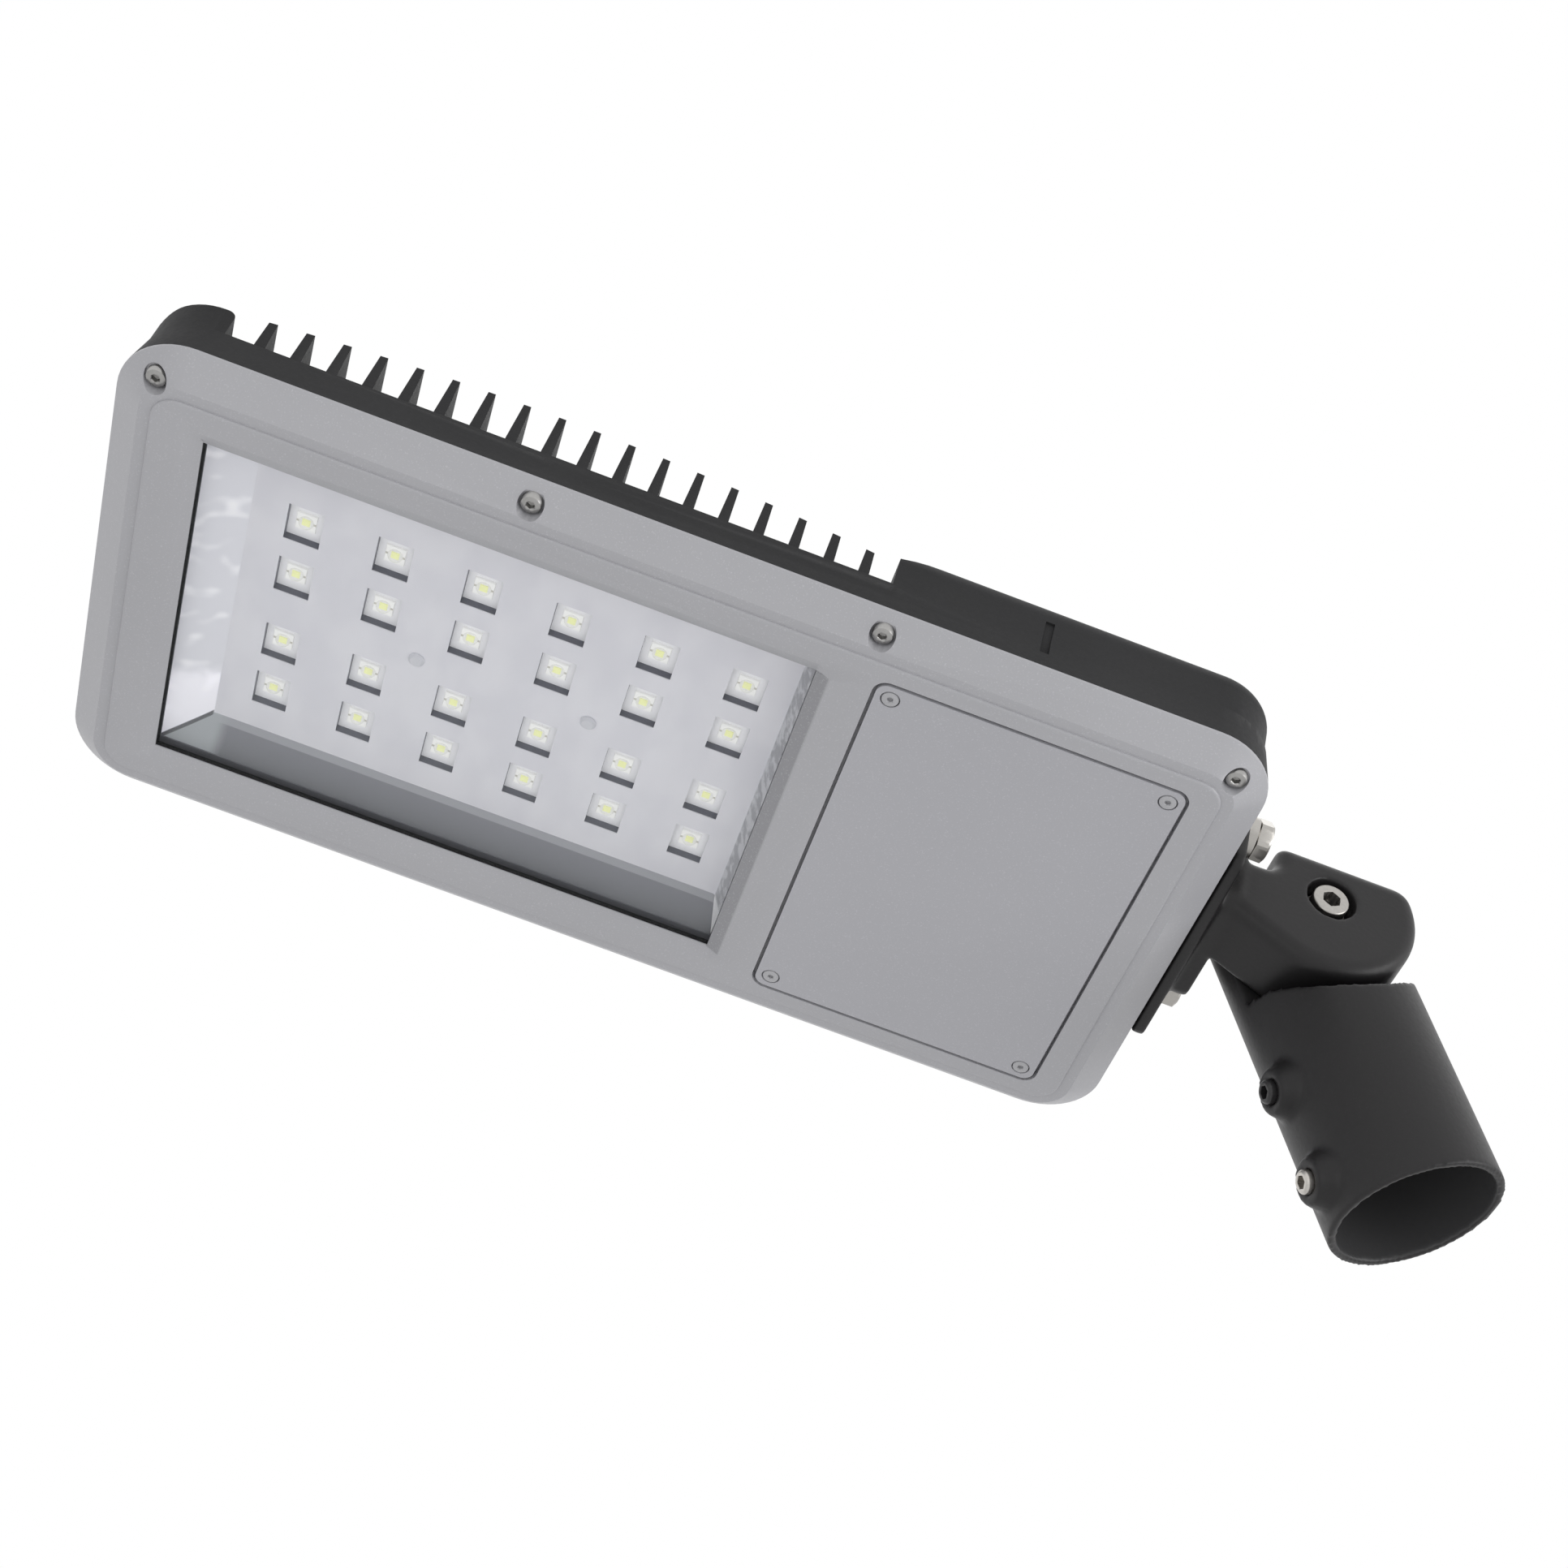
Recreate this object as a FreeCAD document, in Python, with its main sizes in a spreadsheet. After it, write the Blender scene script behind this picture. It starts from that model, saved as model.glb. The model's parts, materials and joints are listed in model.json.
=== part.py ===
import FreeCAD, Part
import Sketcher
import math
import os
import re

doc = FreeCAD.newDocument("street_light_head")
sheet = doc.addObject("Spreadsheet::Sheet", "Sizes")

# Driving sizes in millimetres and degrees.
# The head has its own axes: X runs from the tip to the pole end, Z is up, and Z = 0 is the
# plane where the face frame meets the housing. X = 0 is the middle of the head.
DRIVING = [
    ("head_length", 381, "outline of the head, tip to rear"),
    ("head_width", 195, "outline of the head, side to side"),
    ("corner_radius", 23, "corner of the outline seen from below"),
    ("rim_width", 15, "solid border that carries screws and gasket"),
    ("frame_depth", 10, "parting plane down to the lit face"),
    ("frame_edge", 1, "upright edge of the face frame"),
    ("frame_bevel", 10, "width of the bevel inside that edge"),
    ("frame_step", 1, "height of the step up to the flat face"),
    ("frame_step_inset", 14, "step in from the outline"),
    ("frame_wall", 3, "plate thickness of the face frame"),
    ("face_edge", 0.9, "rounding of the edge of the flat face"),
    ("wall_lip", 2.5, "wall round the glass seal"),
    ("window_from_tip", 31, "tip to window opening"),
    ("window_border", 28, "side to window opening"),
    ("window_to_cover", 19.5, "bar between window and driver cover"),
    ("window_chamfer", 5, "width of the chamfer round the window"),
    ("window_chamfer_depth", 2.5, "depth of that chamfer"),
    ("glass_thickness", 4, "toughened glass"),
    ("glass_overlap", 3.5, "glass hidden behind the opening edge"),
    ("glass_seal_wall", 2, "rubber outside the glass edge"),
    ("glass_seal_lip", 0.5, "rubber above and below the glass"),
    ("cover_length", 104, "driver cover along the head"),
    ("cover_border", 21.5, "side to driver cover"),
    ("cover_to_rear", 24.5, "driver cover to rear outline"),
    ("cover_corner", 4, "corner radius of the cover"),
    ("cover_thickness", 2.5, "cover plate"),
    ("cover_gap", 1.2, "gap round the cover"),
    ("cover_seal", 1, "flat seal under the cover"),
    ("cover_ledge", 7, "ledge that carries the seal"),
    ("cover_rim", 3, "metal round the cover recess"),
    ("cover_screw_inset", 5.2, "cover screws from the cover edges"),
    ("post_scoop", 6, "corners of the opening cut back round the screw posts"),
    ("wall_height", 14, "side of the housing up to the fin roots"),
    ("wall_draft", 2, "lean of that side"),
    ("base_thickness", 3, "plate between light engine and fins"),
    ("channel_outer", 4.5, "outer wall beside the screw channel"),
    ("channel_inner", 9.5, "start of the gasket rib"),
    ("screw_boss", 11, "boss round a frame screw"),
    ("gasket_inset", 11, "gasket groove in from the outline"),
    ("gasket_width", 3, "width of the gasket cord"),
    ("gasket_depth", 1.5, "depth of its groove"),
    ("nose_length", 26.5, "solid block at the tip, before the fins"),
    ("nose_top", 25.3, "top of that block"),
    ("nose_round", 8, "rounding of the block towards the tip"),
    ("nose_edge", 3, "rounding of the block towards the fins"),
    ("rear_length", 135, "driver block at the pole end"),
    ("rear_front_top", 27, "top of the driver block at its front edge"),
    ("rear_side_top", 33.4, "top of the driver block at its sides"),
    ("rear_crown_top", 41, "top of the driver block on the centre line"),
    ("rear_inset", 3, "rear wall in from the outline"),
    ("roof_wall", 3.2, "roof of the driver block"),
    ("roof_extra", 1.5, "further thickness of the roof on the centre line"),
    ("roof_edge", 10, "rounding of the roof's outer edges"),
    ("roof_step", 34, "low front part of the driver room"),
    ("room_corner", 8, "corner radius of the rooms"),
    ("roof_rise", 94.5, "length over which the roof climbs"),
    ("fin_count", 18, "cooling fins"),
    ("fin_margin_front", 11, "nose block to first fin"),
    ("fin_margin_rear", 9.8, "last fin to driver block"),
    ("fin_root", 3.6, "fin thickness at its root"),
    ("fin_tip", 2.4, "fin thickness at its tip"),
    ("fin_top", 33.4, "highest fin tip"),
    ("fin_arch_drop", 9.3, "fall of the fin tips from the top of their arch to the last fin"),
    ("fin_arch_from_tip", 130.5, "tip of the head to the top of the arch"),
    ("fin_end_inset", 2.4, "fin ends in from the outline"),
    ("boss_diameter", 8, "cast bosses between the fins"),
    ("boss_height", 3.5, "height of those bosses"),
    ("boss_inset", 11, "those bosses in from the sides"),
    ("boss_first", 4.5, "fin gaps from the first fin to the first bosses"),
    ("boss_second", 8.5, "fin gaps from the first fin to the second bosses"),
    ("slope_tip", 15, "reflector slope at the tip"),
    ("slope_rear", 3.5, "reflector slope beside the driver block"),
    ("slope_side", 12, "reflector slope at the sides"),
    ("tray_wall", 1.2, "reflector wall"),
    ("tray_floor", 3.2, "reflector floor"),
    ("tray_corner", 2, "corner radius of the reflector"),
    ("led_columns", 6, "light sources along the head"),
    ("led_margin_tip", 17.7, "reflector floor edge to first column"),
    ("led_margin_rear", 15, "last column to reflector floor edge"),
    ("led_margin_side", 19, "floor edge to outer row"),
    ("led_inner_share", 0.4, "inner row as a share of the outer row"),
    ("led_hole", 12, "hole in the reflector, along the head"),
    ("led_hole_share", 0.65, "that hole across the head, as a share of the row pitch"),
    ("led_size", 7, "square light source"),
    ("led_height", 0.9, "its ceramic body"),
    ("dome_diameter", 5.2, "silicone dome on it"),
    ("dome_height", 2.2, "height of the dome"),
    ("board_thickness", 1.6, "metal core board"),
    ("board_margin", 3, "board beyond the reflector floor at its ends"),
    ("board_side_margin", 12, "board beyond the reflector floor at its sides"),
    ("board_screw_side", 8, "board screws beyond the reflector floor"),
    ("board_screw_end", 25, "outer board screws in from the ends of that floor"),
    ("pad_thickness", 0.4, "thermal pad behind the board"),
    ("partition", 6, "wall between light engine and driver"),
    ("notch_from_rear", 83.5, "parting notch in the sides, from the rear"),
    ("notch_width", 3, "width of that notch"),
    ("notch_depth", 0.8, "depth of that notch"),
    ("mid_screw_spacing", 115, "the two middle frame screws on a side"),
    ("mid_screw_inset", 6.5, "middle frame screws in from the side"),
    ("corner_screw_x", 13.3, "corner frame screws in from the ends"),
    ("corner_screw_y", 11.3, "corner frame screws in from the sides"),
    ("frame_screw", 4, "thread of the frame screws"),
    ("frame_screw_head", 7, "head of the frame screws"),
    ("frame_screw_head_height", 3, "height of that head"),
    ("frame_screw_length", 12, "shank of the frame screws"),
    ("screw_seat", 3.5, "parting plane down to the seat of a frame screw"),
    ("screw_room", 1.4, "counterbore over screw head, on the diameter"),
    ("tongue_length", 12, "hooked tongues that hold the far side of the frame"),
    ("tongue_spacing", 125, "from tongue to tongue"),
    ("tongue_height", 8, "tongue above the parting plane"),
    ("tongue_wall", 2.7, "thickness of a tongue"),
    ("tongue_gap", 1.5, "gasket rib to tongue"),
    ("hook_reach", 1.6, "hook beyond its tongue"),
    ("hook_height", 3, "height of that hook"),
    ("slide_clearance", 0.3, "play round a hook"),
    ("cover_screw", 3, "thread of the cover screws"),
    ("cover_screw_head", 5.8, "head of the cover screws"),
    ("cover_screw_head_height", 1.7, "height of that head"),
    ("cover_screw_length", 8, "shank of the cover screws"),
    ("cover_screw_sink", 1.5, "counterbore in the cover"),
    ("driver_screw", 4, "thread of the driver screws"),
    ("driver_screw_head", 7, "head of the driver screws"),
    ("driver_screw_head_height", 2, "height of that head"),
    ("small_screw", 3, "thread of the screws inside"),
    ("small_screw_head", 5.5, "head of the screws inside"),
    ("small_screw_head_height", 1.8, "height of that head"),
    ("small_screw_length", 4.4, "shank of the screws inside"),
    ("tray_screw_head_height", 1.4, "flat head of the reflector screws"),
    ("screw_edge", 0.8, "bevel of a screw head"),
    ("thread_clearance", 0.1, "hole over thread, on the diameter"),
    ("pass_clearance", 0.5, "free hole over shank, on the diameter"),
    ("spigot_angle", 63, "spigot below the line of the head, as photographed"),
    ("tube_outer", 60, "outside of the spigot tube"),
    ("tube_bore", 54, "bore that slips over the pole end"),
    ("pivot_to_mouth", 109, "pivot to the mouth of the tube"),
    ("dish_radius", 38, "hollow in the tube's top, centred on the pivot"),
    ("tube_floor", 6, "metal between that hollow and the bore"),
    ("lap_gap", 0.3, "gap between the two lugs"),
    ("pivot_bolt_size", 8, "pivot bolt"),
    ("pivot_bolt_head", 13, "its cap head"),
    ("pivot_clearance", 0.1, "running fit of the bolt, on the diameter"),
    ("pivot_recess", 17.5, "recess round the cap head"),
    ("pivot_recess_depth", 10, "depth of that recess"),
    ("nut_recess", 20, "recess round the pivot nut"),
    ("nut_seat", 20, "centre plane to the seat of the nut washer"),
    ("nut_across", 13, "pivot nut across flats"),
    ("nut_height", 6.5, "pivot nut"),
    ("washer_outer", 16, "plain washers"),
    ("washer_thickness", 1.6, "plain washers"),
    ("spring_outer", 14.2, "spring washers"),
    ("spring_thickness", 2, "spring washers"),
    ("set_boss", 15, "boss of a set screw at its end"),
    ("set_boss_base", 23, "that boss at the bore"),
    ("set_boss_height", 5, "boss above the tube"),
    ("set_screw", 8, "set screw"),
    ("set_screw_length", 10, "set screw"),
    ("set_screw_back", 0.3, "set screw clear of the bore"),
    ("set_first", 15, "mouth to the first set screw"),
    ("set_second", 50, "mouth to the second set screw"),
    ("pivot_height", 22.4, "pivot above the parting plane"),
    ("pivot_reach", 42.2, "bracket seal to the pivot"),
    ("bracket_pad", 4.5, "flange of the bracket"),
    ("bracket_width", 96, "flange side to side"),
    ("bracket_bottom", 0.6, "flange above the parting plane"),
    ("bracket_top", 36.4, "top of the flange above the parting plane"),
    ("bracket_seal", 0.8, "seal behind the flange"),
    ("bracket_foot", 6.7, "raised foot on the flange"),
    ("foot_side", 25, "foot beyond the centre plane"),
    ("lug_side", 27, "outer face of the arm lug from the centre plane"),
    ("lug_radius", 32, "round arm lug about the pivot"),
    ("lug_top", 17.5, "pivot up to the lug's flat top edge"),
    ("lug_corner", 8, "corner between that edge and the round"),
    ("lug_lean", 64.5, "angle where the round runs out into the foot"),
    ("lug_back", 20.5, "pivot back to the notch in the top edge"),
    ("lug_notch_depth", 12.5, "depth of that notch"),
    ("lug_notch_corner", 4, "radius in the notch"),
    ("lug_back_corner", 2.5, "radius beside the notch"),
    ("lug_edge", 5, "rounding of the lug's outer edge"),
    ("bracket_corner", 5, "corners of the flange and of its seat"),
    ("foot_step", 0.5, "foot beyond the lug's outer face"),
    ("foot_margin", 2, "flange edge to foot"),
    ("foot_corner", 6, "corner radius of the foot"),
    ("bracket_bolt", 8, "bracket bolts"),
    ("bracket_bolt_across", 13, "bolt head across flats"),
    ("bracket_bolt_head", 5.3, "bolt head"),
    ("bracket_bolt_length", 21, "bolt shank"),
    ("bracket_bolt_side", 39.5, "bolts from the centre plane"),
    ("bracket_bolt_height", 23, "bolts above the parting plane"),
    ("cable_way", 12, "cable passage through flange and tube"),
    ("cable_side", 7, "cable passage from the centre plane"),
    ("cable_drop", 5, "cable passage in the flange below the pivot"),
    ("cable_room", 13, "depth of the cable rooms between the lugs"),
    ("room_far", 31, "pivot to the far end of the arm's room"),
    ("room_near", 10.5, "pivot to its near end"),
    ("room_half", 7, "half the height of that room"),
    ("ring_outer", 44, "round room in the spigot's lug"),
    ("ring_inner", 20, "hub of that room"),
    ("grommet_bore", 9, "bore of the cable grommet"),
    ("grommet_groove", 16, "hole in the rear wall"),
    ("grommet_flange", 21, "flange of the grommet"),
    ("rear_wall", 9, "rear wall of the driver block"),
    ("driver_side_room", 18.5, "wall of the driver room to the driver case"),
    ("driver_width", 46, "driver case along the head"),
    ("driver_height", 24, "driver case"),
    ("driver_tab", 8, "fixing tab of the driver"),
    ("driver_tab_thickness", 2, "tab sheet"),
    ("driver_tab_width", 24, "tab along the head"),
    ("driver_from_partition", 8, "partition to driver"),
    ("terminal_length", 34, "terminal block"),
    ("terminal_width", 20, "terminal block"),
    ("terminal_height", 15, "terminal block"),
    ("terminal_poles", 3, "ways of the terminal block"),
    ("terminal_gap", 6, "driver to terminal block"),
    ("terminal_well", 6, "screw wells of the terminal block"),
    ("terminal_y", 30, "terminal block from the centre plane"),
    ("terminal_screw_bite", 5, "terminal screws into the housing"),
    ("driver_screw_bite", 4, "driver screws into the housing"),
    ("bolt_boss", 18, "boss inside the rear wall for a bracket bolt"),
    ("bolt_boss_length", 9, "length of that boss"),
    ("lead_hole", 9, "hole for the leads in the partition"),
    ("lead_side", 20, "that hole from the centre plane"),
    ("lead_bore", 5, "bore of the grommet in it"),
    ("lead_flange", 9.6, "flange of that grommet"),
    ("partition_lap", 2.2, "partition under the edge of the cover recess"),
]

DERIVED = [
    ("tip_x", "=-head_length / 2"),
    ("rear_x", "=head_length / 2"),
    ("side_y", "=head_width / 2"),
    ("face_z", "=-frame_depth"),
    ("window_x0", "=tip_x + window_from_tip"),
    ("window_x1", "=rear_x - cover_to_rear - cover_length - window_to_cover"),
    ("window_y", "=side_y - window_border"),
    ("cover_x1", "=rear_x - cover_to_rear"),
    ("cover_x0", "=cover_x1 - cover_length"),
    ("cover_y", "=side_y - cover_border"),
    ("ledge_z", "=face_z + cover_thickness + cover_seal"),
    ("plate_top", "=face_z + frame_wall"),
    ("seal_top", "=plate_top + glass_thickness + 2 * glass_seal_lip"),
    ("seal_reach", "=glass_overlap + glass_seal_wall"),
    ("floor_x0", "=window_x0 + slope_tip"),
    ("floor_x1", "=window_x1 - slope_rear"),
    ("floor_y", "=window_y - slope_side"),
    ("base_z", "=wall_height - base_thickness"),
    ("pad_z", "=base_z - pad_thickness"),
    ("board_z", "=pad_z - board_thickness"),
    ("floor_z", "=board_z - tray_floor"),
    ("led_x0", "=floor_x0 + led_margin_tip"),
    ("led_pitch", "=(floor_x1 - led_margin_rear - led_x0) / (led_columns - 1)"),
    ("led_outer", "=floor_y - led_margin_side"),
    ("led_inner", "=led_outer * led_inner_share"),
    ("led_hole_width", "=led_hole_share * (led_outer - led_inner)"),
    ("partition_x1", "=cover_x0 - cover_gap - partition + partition_lap"),
    ("partition_x0", "=partition_x1 - partition"),
    ("driver_room_x1", "=rear_x - rear_inset - rear_wall"),
    ("room_y", "=side_y - rim_width"),
    ("fin_x0", "=tip_x + nose_length"),
    ("fin_x1", "=rear_x - rear_length"),
    ("first_fin", "=fin_x0 + fin_margin_front"),
    ("fin_pitch", "=(fin_x1 - fin_margin_rear - first_fin) / (fin_count - 1)"),
    ("fin_arch_x", "=tip_x + fin_arch_from_tip"),
    ("fin_arch_run", "=fin_x1 - 1 - fin_arch_x"),
    ("fin_arch_radius", "=(fin_arch_run^2 + fin_arch_drop^2) / 2 / fin_arch_drop"),
    ("roof_sag", "=rear_crown_top - rear_side_top - roof_extra"),
    ("roof_radius", "=(room_y^2 + roof_sag^2) / 2 / roof_sag"),
    ("notch_x", "=rear_x - notch_from_rear"),
    ("seat_x", "=rear_x"),
    ("pivot_x", "=seat_x + pivot_reach + bracket_seal"),
    ("corner_x", "=rear_x - corner_screw_x"),
    ("corner_y", "=side_y - corner_screw_y"),
    ("mid_x", "=mid_screw_spacing / 2"),
    ("mid_y", "=side_y - mid_screw_inset"),
    ("mouth_z", "=-pivot_to_mouth"),
    ("bore_top", "=-dish_radius - tube_floor"),
    ("dish_half", "=tube_outer / 2 + 1"),
    ("dish_low", "=sqrt(dish_radius^2 - dish_half^2)"),
    ("pivot_world_x", "=mouth_z * cos(spigot_angle)"),
    ("pivot_world_z", "=-mouth_z * sin(spigot_angle)"),
    ("head_world_x", "=pivot_world_x - pivot_x"),
    ("head_world_z", "=pivot_world_z - pivot_height"),
    ("flange_x", "=-pivot_reach + bracket_pad"),
    ("foot_x", "=flange_x + bracket_foot"),
    ("lug_reach", "=sqrt((lug_radius - lug_corner)^2 - (lug_top - lug_corner)^2)"),
    ("lug_share", "=lug_radius / (lug_radius - lug_corner)"),
    ("tongue_y0", "=side_y - channel_inner + tongue_gap"),
    ("tongue_y1", "=tongue_y0 + tongue_wall"),
    ("hook_y", "=tongue_y1 + hook_reach"),
    ("bolt_seat_x", "=flange_x + washer_thickness + spring_thickness"),
    ("cable_z", "=pivot_height - cable_drop"),
    ("driver_length", "=2 * (room_y - driver_side_room)"),
    ("driver_x0", "=partition_x1 + driver_from_partition"),
    ("driver_x", "=driver_x0 + driver_width / 2"),
    ("driver_roof", "=rear_front_top - roof_wall"),
    ("terminal_x", "=driver_x0 + driver_width + terminal_gap + terminal_width / 2"),
    ("terminal_top", "=rear_side_top - roof_wall"),
]

NAMES = {row[0] for row in DRIVING} | {row[0] for row in DERIVED}
SHAPES = {}


def fill_sheet():
    for line, (name, value, meaning) in enumerate(DRIVING, start=1):
        sheet.set(f"A{line}", meaning)
        sheet.set(f"B{line}", str(value))
        sheet.setAlias(f"B{line}", name)
    for line, (name, formula) in enumerate(DERIVED, start=len(DRIVING) + 1):
        sheet.set(f"A{line}", name.replace("_", " "))
        sheet.set(f"B{line}", formula)
        sheet.setAlias(f"B{line}", name)
    doc.recompute()


def num(text):
    """The value of a formula written in sheet names."""
    return float(sheet.evalExpression(text))


def bind(item, prop, text):
    """Tie a property to a formula of the sheet."""
    item.setExpression(prop, re.sub(r"[a-z]\w+", lambda m: "Sizes." + m[0] if m[0] in NAMES else m[0], text))


def origin(body, role):
    return next(item for item in body.Origin.OriginFeatures if item.Role == role)


def new_body(name, where="head"):
    """An empty body in the head's axes, in the pivot's axes or in the tilted spigot's axes."""
    body = doc.addObject("PartDesign::Body", name)
    body.Label = name
    place(body, where)
    return body


def place(item, where):
    if where == "spigot":
        item.Placement = FreeCAD.Placement(FreeCAD.Vector(), FreeCAD.Rotation(FreeCAD.Vector(0, -1, 0), 1))
        bind(item, "Placement.Rotation.Angle", "90 - spigot_angle")
    if where in ("spigot", "pivot"):
        bind(item, "Placement.Base.x", "pivot_world_x")
        bind(item, "Placement.Base.z", "pivot_world_z")
    if where == "head":
        bind(item, "Placement.Base.x", "head_world_x")
        bind(item, "Placement.Base.z", "head_world_z")


def sketch(body, plane, offset=None):
    """A sketch on an origin plane of its own body, pushed off it along the plane's normal."""
    item = body.newObject("Sketcher::SketchObject", body.Name + "_sketch")
    item.AttachmentSupport = [(origin(body, plane + "_Plane"), "")]
    item.MapMode = "FlatFace"
    if offset is not None:
        bind(item, "AttachmentOffset.Base.z", offset)
    return item


def fix(item, geo, pos, x, y):
    """Hold one point of a sketch at two formulas."""
    for kind, text, axis in (("DistanceX", x, -2), ("DistanceY", y, -1)):
        value = num(text)
        if abs(value) < 1e-7:
            item.addConstraint(Sketcher.Constraint("PointOnObject", geo, pos, axis))
        else:
            row = item.addConstraint(Sketcher.Constraint(kind, -1, 1, geo, pos, value))
            bind(item, f"Constraints[{row}]", text)


def outline(item, steps):
    """A closed outline. A step is a corner (x, y), reached by a straight side, or (x, y, radius),
    reached by an arc that turns left, or right where the radius is negative."""
    points = [FreeCAD.Vector(num(step[0]), num(step[1]), 0) for step in steps]
    ends = []
    for here in range(len(steps)):
        there = (here + 1) % len(steps)
        start, finish = points[here], points[there]
        if len(steps[there]) == 2:
            geo = item.addGeometry(Part.LineSegment(start, finish), False)
            ends.append((geo, 1, 2))
            continue
        radius = num(steps[there][2])
        chord = finish - start
        rise = math.sqrt(max(radius ** 2 - chord.Length ** 2 / 4, 0))
        side = FreeCAD.Vector(-chord.y, chord.x, 0).normalize() * math.copysign(rise, radius)
        centre = (start + finish) / 2 + side
        if radius < 0:
            start, finish = finish, start
        first = math.atan2(start.y - centre.y, start.x - centre.x)
        last = math.atan2(finish.y - centre.y, finish.x - centre.x)
        if last < first:
            last += 2 * math.pi
        ring = Part.Circle(centre, FreeCAD.Vector(0, 0, 1), abs(radius))
        geo = item.addGeometry(Part.ArcOfCircle(ring, first, last), False)
        ends.append((geo, 1, 2) if radius > 0 else (geo, 2, 1))
        row = item.addConstraint(Sketcher.Constraint("Radius", geo, abs(radius)))
        bind(item, f"Constraints[{row}]", f"abs({steps[there][2]})")
    for here, (geo, first_end, last_end) in enumerate(ends):
        after = ends[(here + 1) % len(ends)]
        item.addConstraint(Sketcher.Constraint("Coincident", geo, last_end, after[0], after[1]))
        fix(item, geo, first_end, steps[here][0], steps[here][1])


def rectangle(item, x0, x1, y0, y1):
    outline(item, [(x0, y0), (x1, y0), (x1, y1), (x0, y1)])


def rounded(item, x0, x1, y0, y1, radius):
    outline(item, [
        (f"{x0} + {radius}", y0, radius), (f"{x1} - {radius}", y0), (x1, f"{y0} + {radius}", radius),
        (x1, f"{y1} - {radius}"), (f"{x1} - {radius}", y1, radius), (f"{x0} + {radius}", y1),
        (x0, f"{y1} - {radius}", radius), (x0, f"{y0} + {radius}"),
    ])


def circle(item, x, y, diameter):
    centre = FreeCAD.Vector(num(x), num(y), 0)
    geo = item.addGeometry(Part.Circle(centre, FreeCAD.Vector(0, 0, 1), num(diameter) / 2), False)
    fix(item, geo, 3, x, y)
    row = item.addConstraint(Sketcher.Constraint("Diameter", geo, num(diameter)))
    bind(item, f"Constraints[{row}]", diameter)


def hexagon(item, x, y, across):
    """A hexagon with two flats upright."""
    corners = [f"({across}) / 2 / cos(30) * sin({60 * k})" for k in range(6)]
    heights = [f"({across}) / 2 / cos(30) * cos({60 * k})" for k in range(6)]
    outline(item, [(f"{x} + {a}", f"{y} + {b}") for a, b in zip(reversed(corners), reversed(heights))])


def pad(body, profile, length, back=False, both=False):
    item = body.newObject("PartDesign::Pad", body.Name + "_pad")
    item.Profile = profile
    bind(item, "Length", length)
    item.Reversed = back
    item.Midplane = both
    return settle(item)


def pocket(body, profile, length, ahead=False, both=False):
    """A cut against the sketch's normal, or along it where ahead is true."""
    before = body.Shape.Volume
    item = body.newObject("PartDesign::Pocket", body.Name + "_pocket")
    item.Profile = profile
    bind(item, "Length", length)
    item.Reversed = ahead
    item.Midplane = both
    return settle_cut(body, item, before)


def settle(item):
    """Work the document out again and stop if this feature failed."""
    doc.recompute()
    if {"Invalid", "Error"} & set(item.State) or item.Shape.isNull():
        raise RuntimeError(f"{item.Label}: {item.getStatusString()}")
    return item


def settle_cut(body, item, before):
    settle(item)
    if not body.Shape.Volume < before - 1e-3:
        raise RuntimeError(f"{item.Label} cuts nothing")
    return item


def revolve(body, profile, axis="V_Axis"):
    item = body.newObject("PartDesign::Revolution", body.Name + "_turn")
    item.Profile = profile
    item.ReferenceAxis = (profile, [axis])
    item.Angle = 360
    return settle(item)


def loft(body, profiles, cut=False):
    before = body.Shape.Volume if cut else 0
    kind = "PartDesign::SubtractiveLoft" if cut else "PartDesign::AdditiveLoft"
    item = body.newObject(kind, body.Name + "_loft")
    item.Profile = profiles[0]
    item.Sections = profiles[1:]
    item.Ruled = True
    return settle_cut(body, item, before) if cut else settle(item)


def row_along_x(body, feature, pitch, count, mirrored=False):
    """Repeat a feature along X, and across the centre plane too where mirrored is true."""
    multi = body.newObject("PartDesign::MultiTransform", body.Name + "_pattern")
    multi.Originals = [feature]
    line = body.newObject("PartDesign::LinearPattern", body.Name + "_line")
    line.Direction = (origin(body, "X_Axis"), [""])
    line.Mode = "Spacing"
    bind(line, "Offset", pitch)
    bind(line, "Occurrences", count)
    steps = [line]
    if mirrored:
        mirror = body.newObject("PartDesign::Mirrored", body.Name + "_mirror")
        mirror.MirrorPlane = (origin(body, "XZ_Plane"), [""])
        steps.append(mirror)
    multi.Transformations = steps
    body.Tip = multi
    return settle(multi)


def edges_of(feature, test):
    """Names of a feature's edges whose box passes a test."""
    return [f"Edge{number}" for number, edge in enumerate(feature.Shape.Edges, start=1)
            if test(edge.BoundBox)]


def fillet(body, radius, test):
    base = body.Tip
    names = edges_of(base, test)
    if not names:
        raise RuntimeError(f"{body.Label} has no edge to round")
    item = body.newObject("PartDesign::Fillet", body.Name + "_fillet")
    item.Base = (base, names)
    bind(item, "Radius", radius)
    return settle(item)


def keep(body):
    """Note a finished piece under its own name."""
    SHAPES[body.Label] = body
    return body


def group(name, form, spots):
    """Several copies of one hidden form, each at its own place, under one name."""
    links = []
    for number, (x, y, z) in enumerate(spots, start=1):
        link = doc.addObject("App::Link", f"{name}_{number}")
        link.LinkedObject = form
        link.Placement = form.Placement
        for axis, text in (("x", x), ("y", y), ("z", z)):
            bind(link, f"Placement.Base.{axis}", text)
        links.append(link)
    item = doc.addObject("Part::Compound", name)
    item.Label = name
    item.Links = links
    doc.recompute()
    return keep(item)


def outline_inset(item, inset):
    """The head's outline, moved in by a formula."""
    rounded(item, f"tip_x + {inset}", f"rear_x - {inset}", f"{inset} - side_y", f"side_y - {inset}",
            f"(corner_radius - {inset})")


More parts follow.
